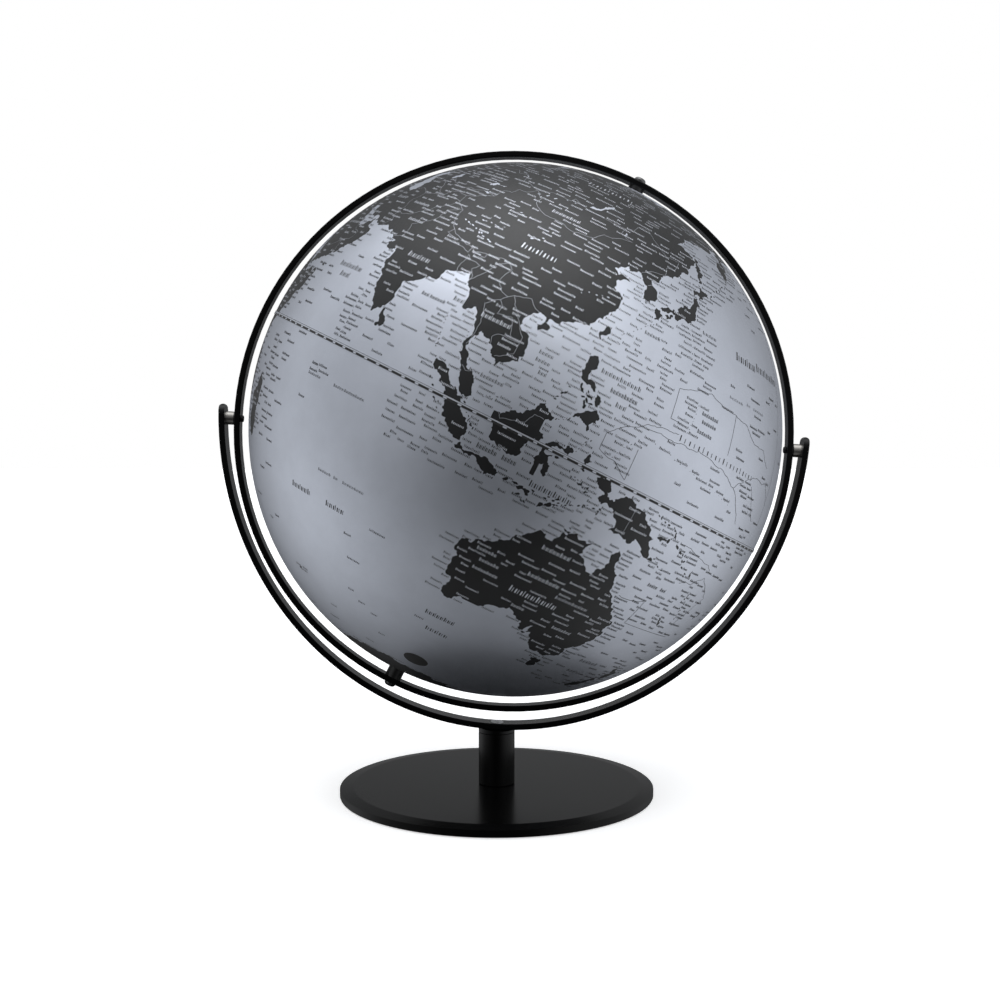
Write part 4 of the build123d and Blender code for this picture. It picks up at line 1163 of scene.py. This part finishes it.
def build_globe():
    """The printed ball: both halves, the equator tape, lines, names and the round patch."""
    printed_half("globe_print_north", "north_hemisphere", 1, [SEA, LAND_INK, BARE_BOARD])
    printed_half("globe_print_south", "south_hemisphere", -1, [SEA, LAND_INK, BARE_BOARD])
    printed_tape([TAPE_PAPER, DARK_PRINT])
    border_points, border_faces = ribbons(BORDERS, True)
    new_piece("globe_borders", border_points, border_faces, [BORDER_PRINT])
    line_points, line_faces = ribbons(SEA_LINES, False)
    new_piece("globe_sea_lines", line_points, line_faces, [DARK_PRINT])
    light, dark = Marks(), Marks()
    write_large_names(light, LAND_NAMES)
    write_large_names(dark, SEA_NAMES)
    write_words(light, land_words(), True)
    write_words(dark, sea_words(), False)
    light.piece("globe_land_names", LIGHT_PRINT)
    dark.piece("globe_sea_names", DARK_PRINT)
    cartouche(DARK_PRINT)


# ---------------------------------------------------------------- floor, light and camera
def light_path_mix(tree, seen, lit):
    """What the camera sees directly, and what lights the object."""
    path = tree.nodes.new("ShaderNodeLightPath")
    mix = tree.nodes.new("ShaderNodeMixShader")
    tree.links.new(path.outputs["Is Camera Ray"], mix.inputs[0])
    tree.links.new(lit, mix.inputs[1])
    tree.links.new(seen, mix.inputs[2])
    return mix.outputs[0]


def make_floor():
    """A plain pale floor."""
    half = 6.0
    mesh = bpy.data.meshes.new("floor")
    corners = [(-half, -half, 0), (half, -half, 0), (half, half, 0), (-half, half, 0)]
    mesh.from_pydata(corners, [], [(0, 1, 2, 3)])
    floor = bpy.data.objects.new("floor", mesh)
    bpy.context.scene.collection.objects.link(floor)
    material = bpy.data.materials.new("floor_white")
    material.use_nodes = True
    tree = material.node_tree
    shader = tree.nodes["Principled BSDF"]
    set_inputs(shader, Base_Color=(0.85, 0.85, 0.85, 1), Roughness=0.9, Emission_Strength=0.0)
    shader.inputs["Specular IOR Level"].default_value = 0.0
    glow = tree.nodes.new("ShaderNodeEmission")
    set_inputs(glow, Strength=0.55)
    both = tree.nodes.new("ShaderNodeAddShader")
    tree.links.new(shader.outputs[0], both.inputs[0])
    tree.links.new(glow.outputs[0], both.inputs[1])
    output = tree.nodes["Material Output"]
    tree.links.new(light_path_mix(tree, both.outputs[0], shader.outputs[0]), output.inputs["Surface"])
    mesh.materials.append(material)
    floor.visible_glossy = False
    floor.visible_diffuse = False


# Soft light in the room: azimuth and height in degrees of the ceiling light and of each pale stretch of wall,
# and how strong it is.  Azimuth 0 is the front, where the camera stands, and 90 is the right.
SOFT_LIGHTS = [
    (0, 85, 3.4), (36, 25, 0.7), (-42, 26, 0.68), (60, 5, 0.3), (72, -15, 0.6), (78, 35, 0.5),
    (108, 20, 0.32), (108, -15, 0.52), (60, -50, 0.5), (120, -45, 0.5), (-108, -15, 0.6),
    (-108, 25, 0.5), (-72, -15, 0.35), (-75, -50, 0.22), (-120, -35, 0.25), (-30, -60, 0.2),
    (-120, 50, 0.4), (144, 35, 0.2), (180, 12, 0.28),
]
# The power of the cosine with which each one fades: a higher one gives a smaller, sharper light.
SOFT_EDGE = 8


def make_room():
    """A room with a broad light overhead, pale walls at the sides and little light in front."""
    world = bpy.data.worlds.new("room")
    bpy.context.scene.world = world
    world.use_nodes = True
    tree = world.node_tree
    tree.nodes.clear()
    place = tree.nodes.new("ShaderNodeTexCoord").outputs["Generated"]

    def step(operation, *values):
        node = tree.nodes.new("ShaderNodeMath")
        node.operation = operation
        for number, value in enumerate(values):
            if isinstance(value, (int, float)):
                node.inputs[number].default_value = value
            else:
                tree.links.new(value, node.inputs[number])
        return node.outputs[0]

    total = 0
    for azimuth, height, strength in SOFT_LIGHTS:
        a, h = math.radians(azimuth), math.radians(height)
        facing = tree.nodes.new("ShaderNodeVectorMath")
        facing.operation = "DOT_PRODUCT"
        facing.inputs[1].default_value = (math.cos(h) * math.sin(a), -math.cos(h) * math.cos(a), math.sin(h))
        tree.links.new(place, facing.inputs[0])
        glow = step("POWER", step("MAXIMUM", facing.outputs["Value"], 0), SOFT_EDGE)
        total = step("ADD", total, step("MULTIPLY", glow, strength))
    lit = tree.nodes.new("ShaderNodeBackground")
    tree.links.new(total, lit.inputs["Strength"])
    seen = tree.nodes.new("ShaderNodeBackground")
    set_inputs(seen, Color=(1, 1, 1, 1), Strength=1.0)
    set_inputs(lit, Color=(0.965, 0.98, 1.0, 1))
    output = tree.nodes.new("ShaderNodeOutputWorld")
    tree.links.new(light_path_mix(tree, seen.outputs[0], lit.outputs[0]), output.inputs["Surface"])


def softbox(name, direction, distance, size, power):
    """A square area light that faces the ball."""
    data = bpy.data.lights.new(name, "AREA")
    data.shape = "SQUARE"
    data.size = size
    data.energy = power
    light = bpy.data.objects.new(name, data)
    bpy.context.scene.collection.objects.link(light)
    away = Vector(direction).normalized()
    light.location = Vector(BALL_CENTRE) + away * distance
    light.rotation_mode = "QUATERNION"
    light.rotation_quaternion = away.to_track_quat("Z", "Y")
    light.visible_camera = False


# The camera that took the view: where it stands, how far it looks down in degrees, its lens in millimetres.
CAMERA_PLACE = (0.00193, -0.7765, 0.21175)
CAMERA_DIP = 3.10
LENS = 48.78
SENSOR_WIDTH = 36


def make_camera():
    """The camera, level from side to side and looking straight to the back."""
    data = bpy.data.cameras.new("camera")
    data.sensor_width = SENSOR_WIDTH
    data.lens = LENS
    camera = bpy.data.objects.new("camera", data)
    camera.location = CAMERA_PLACE
    camera.rotation_euler = (math.radians(90 - CAMERA_DIP), 0, 0)
    bpy.context.scene.collection.objects.link(camera)
    bpy.context.scene.camera = camera


make_camera()
make_floor()
make_room()
softbox("key_light", direction=(0.26, -0.48, 0.84), distance=1.1, size=0.8, power=0.8)
paint_nodes()
build_globe()
bpy.context.scene.view_settings.view_transform = "Standard"
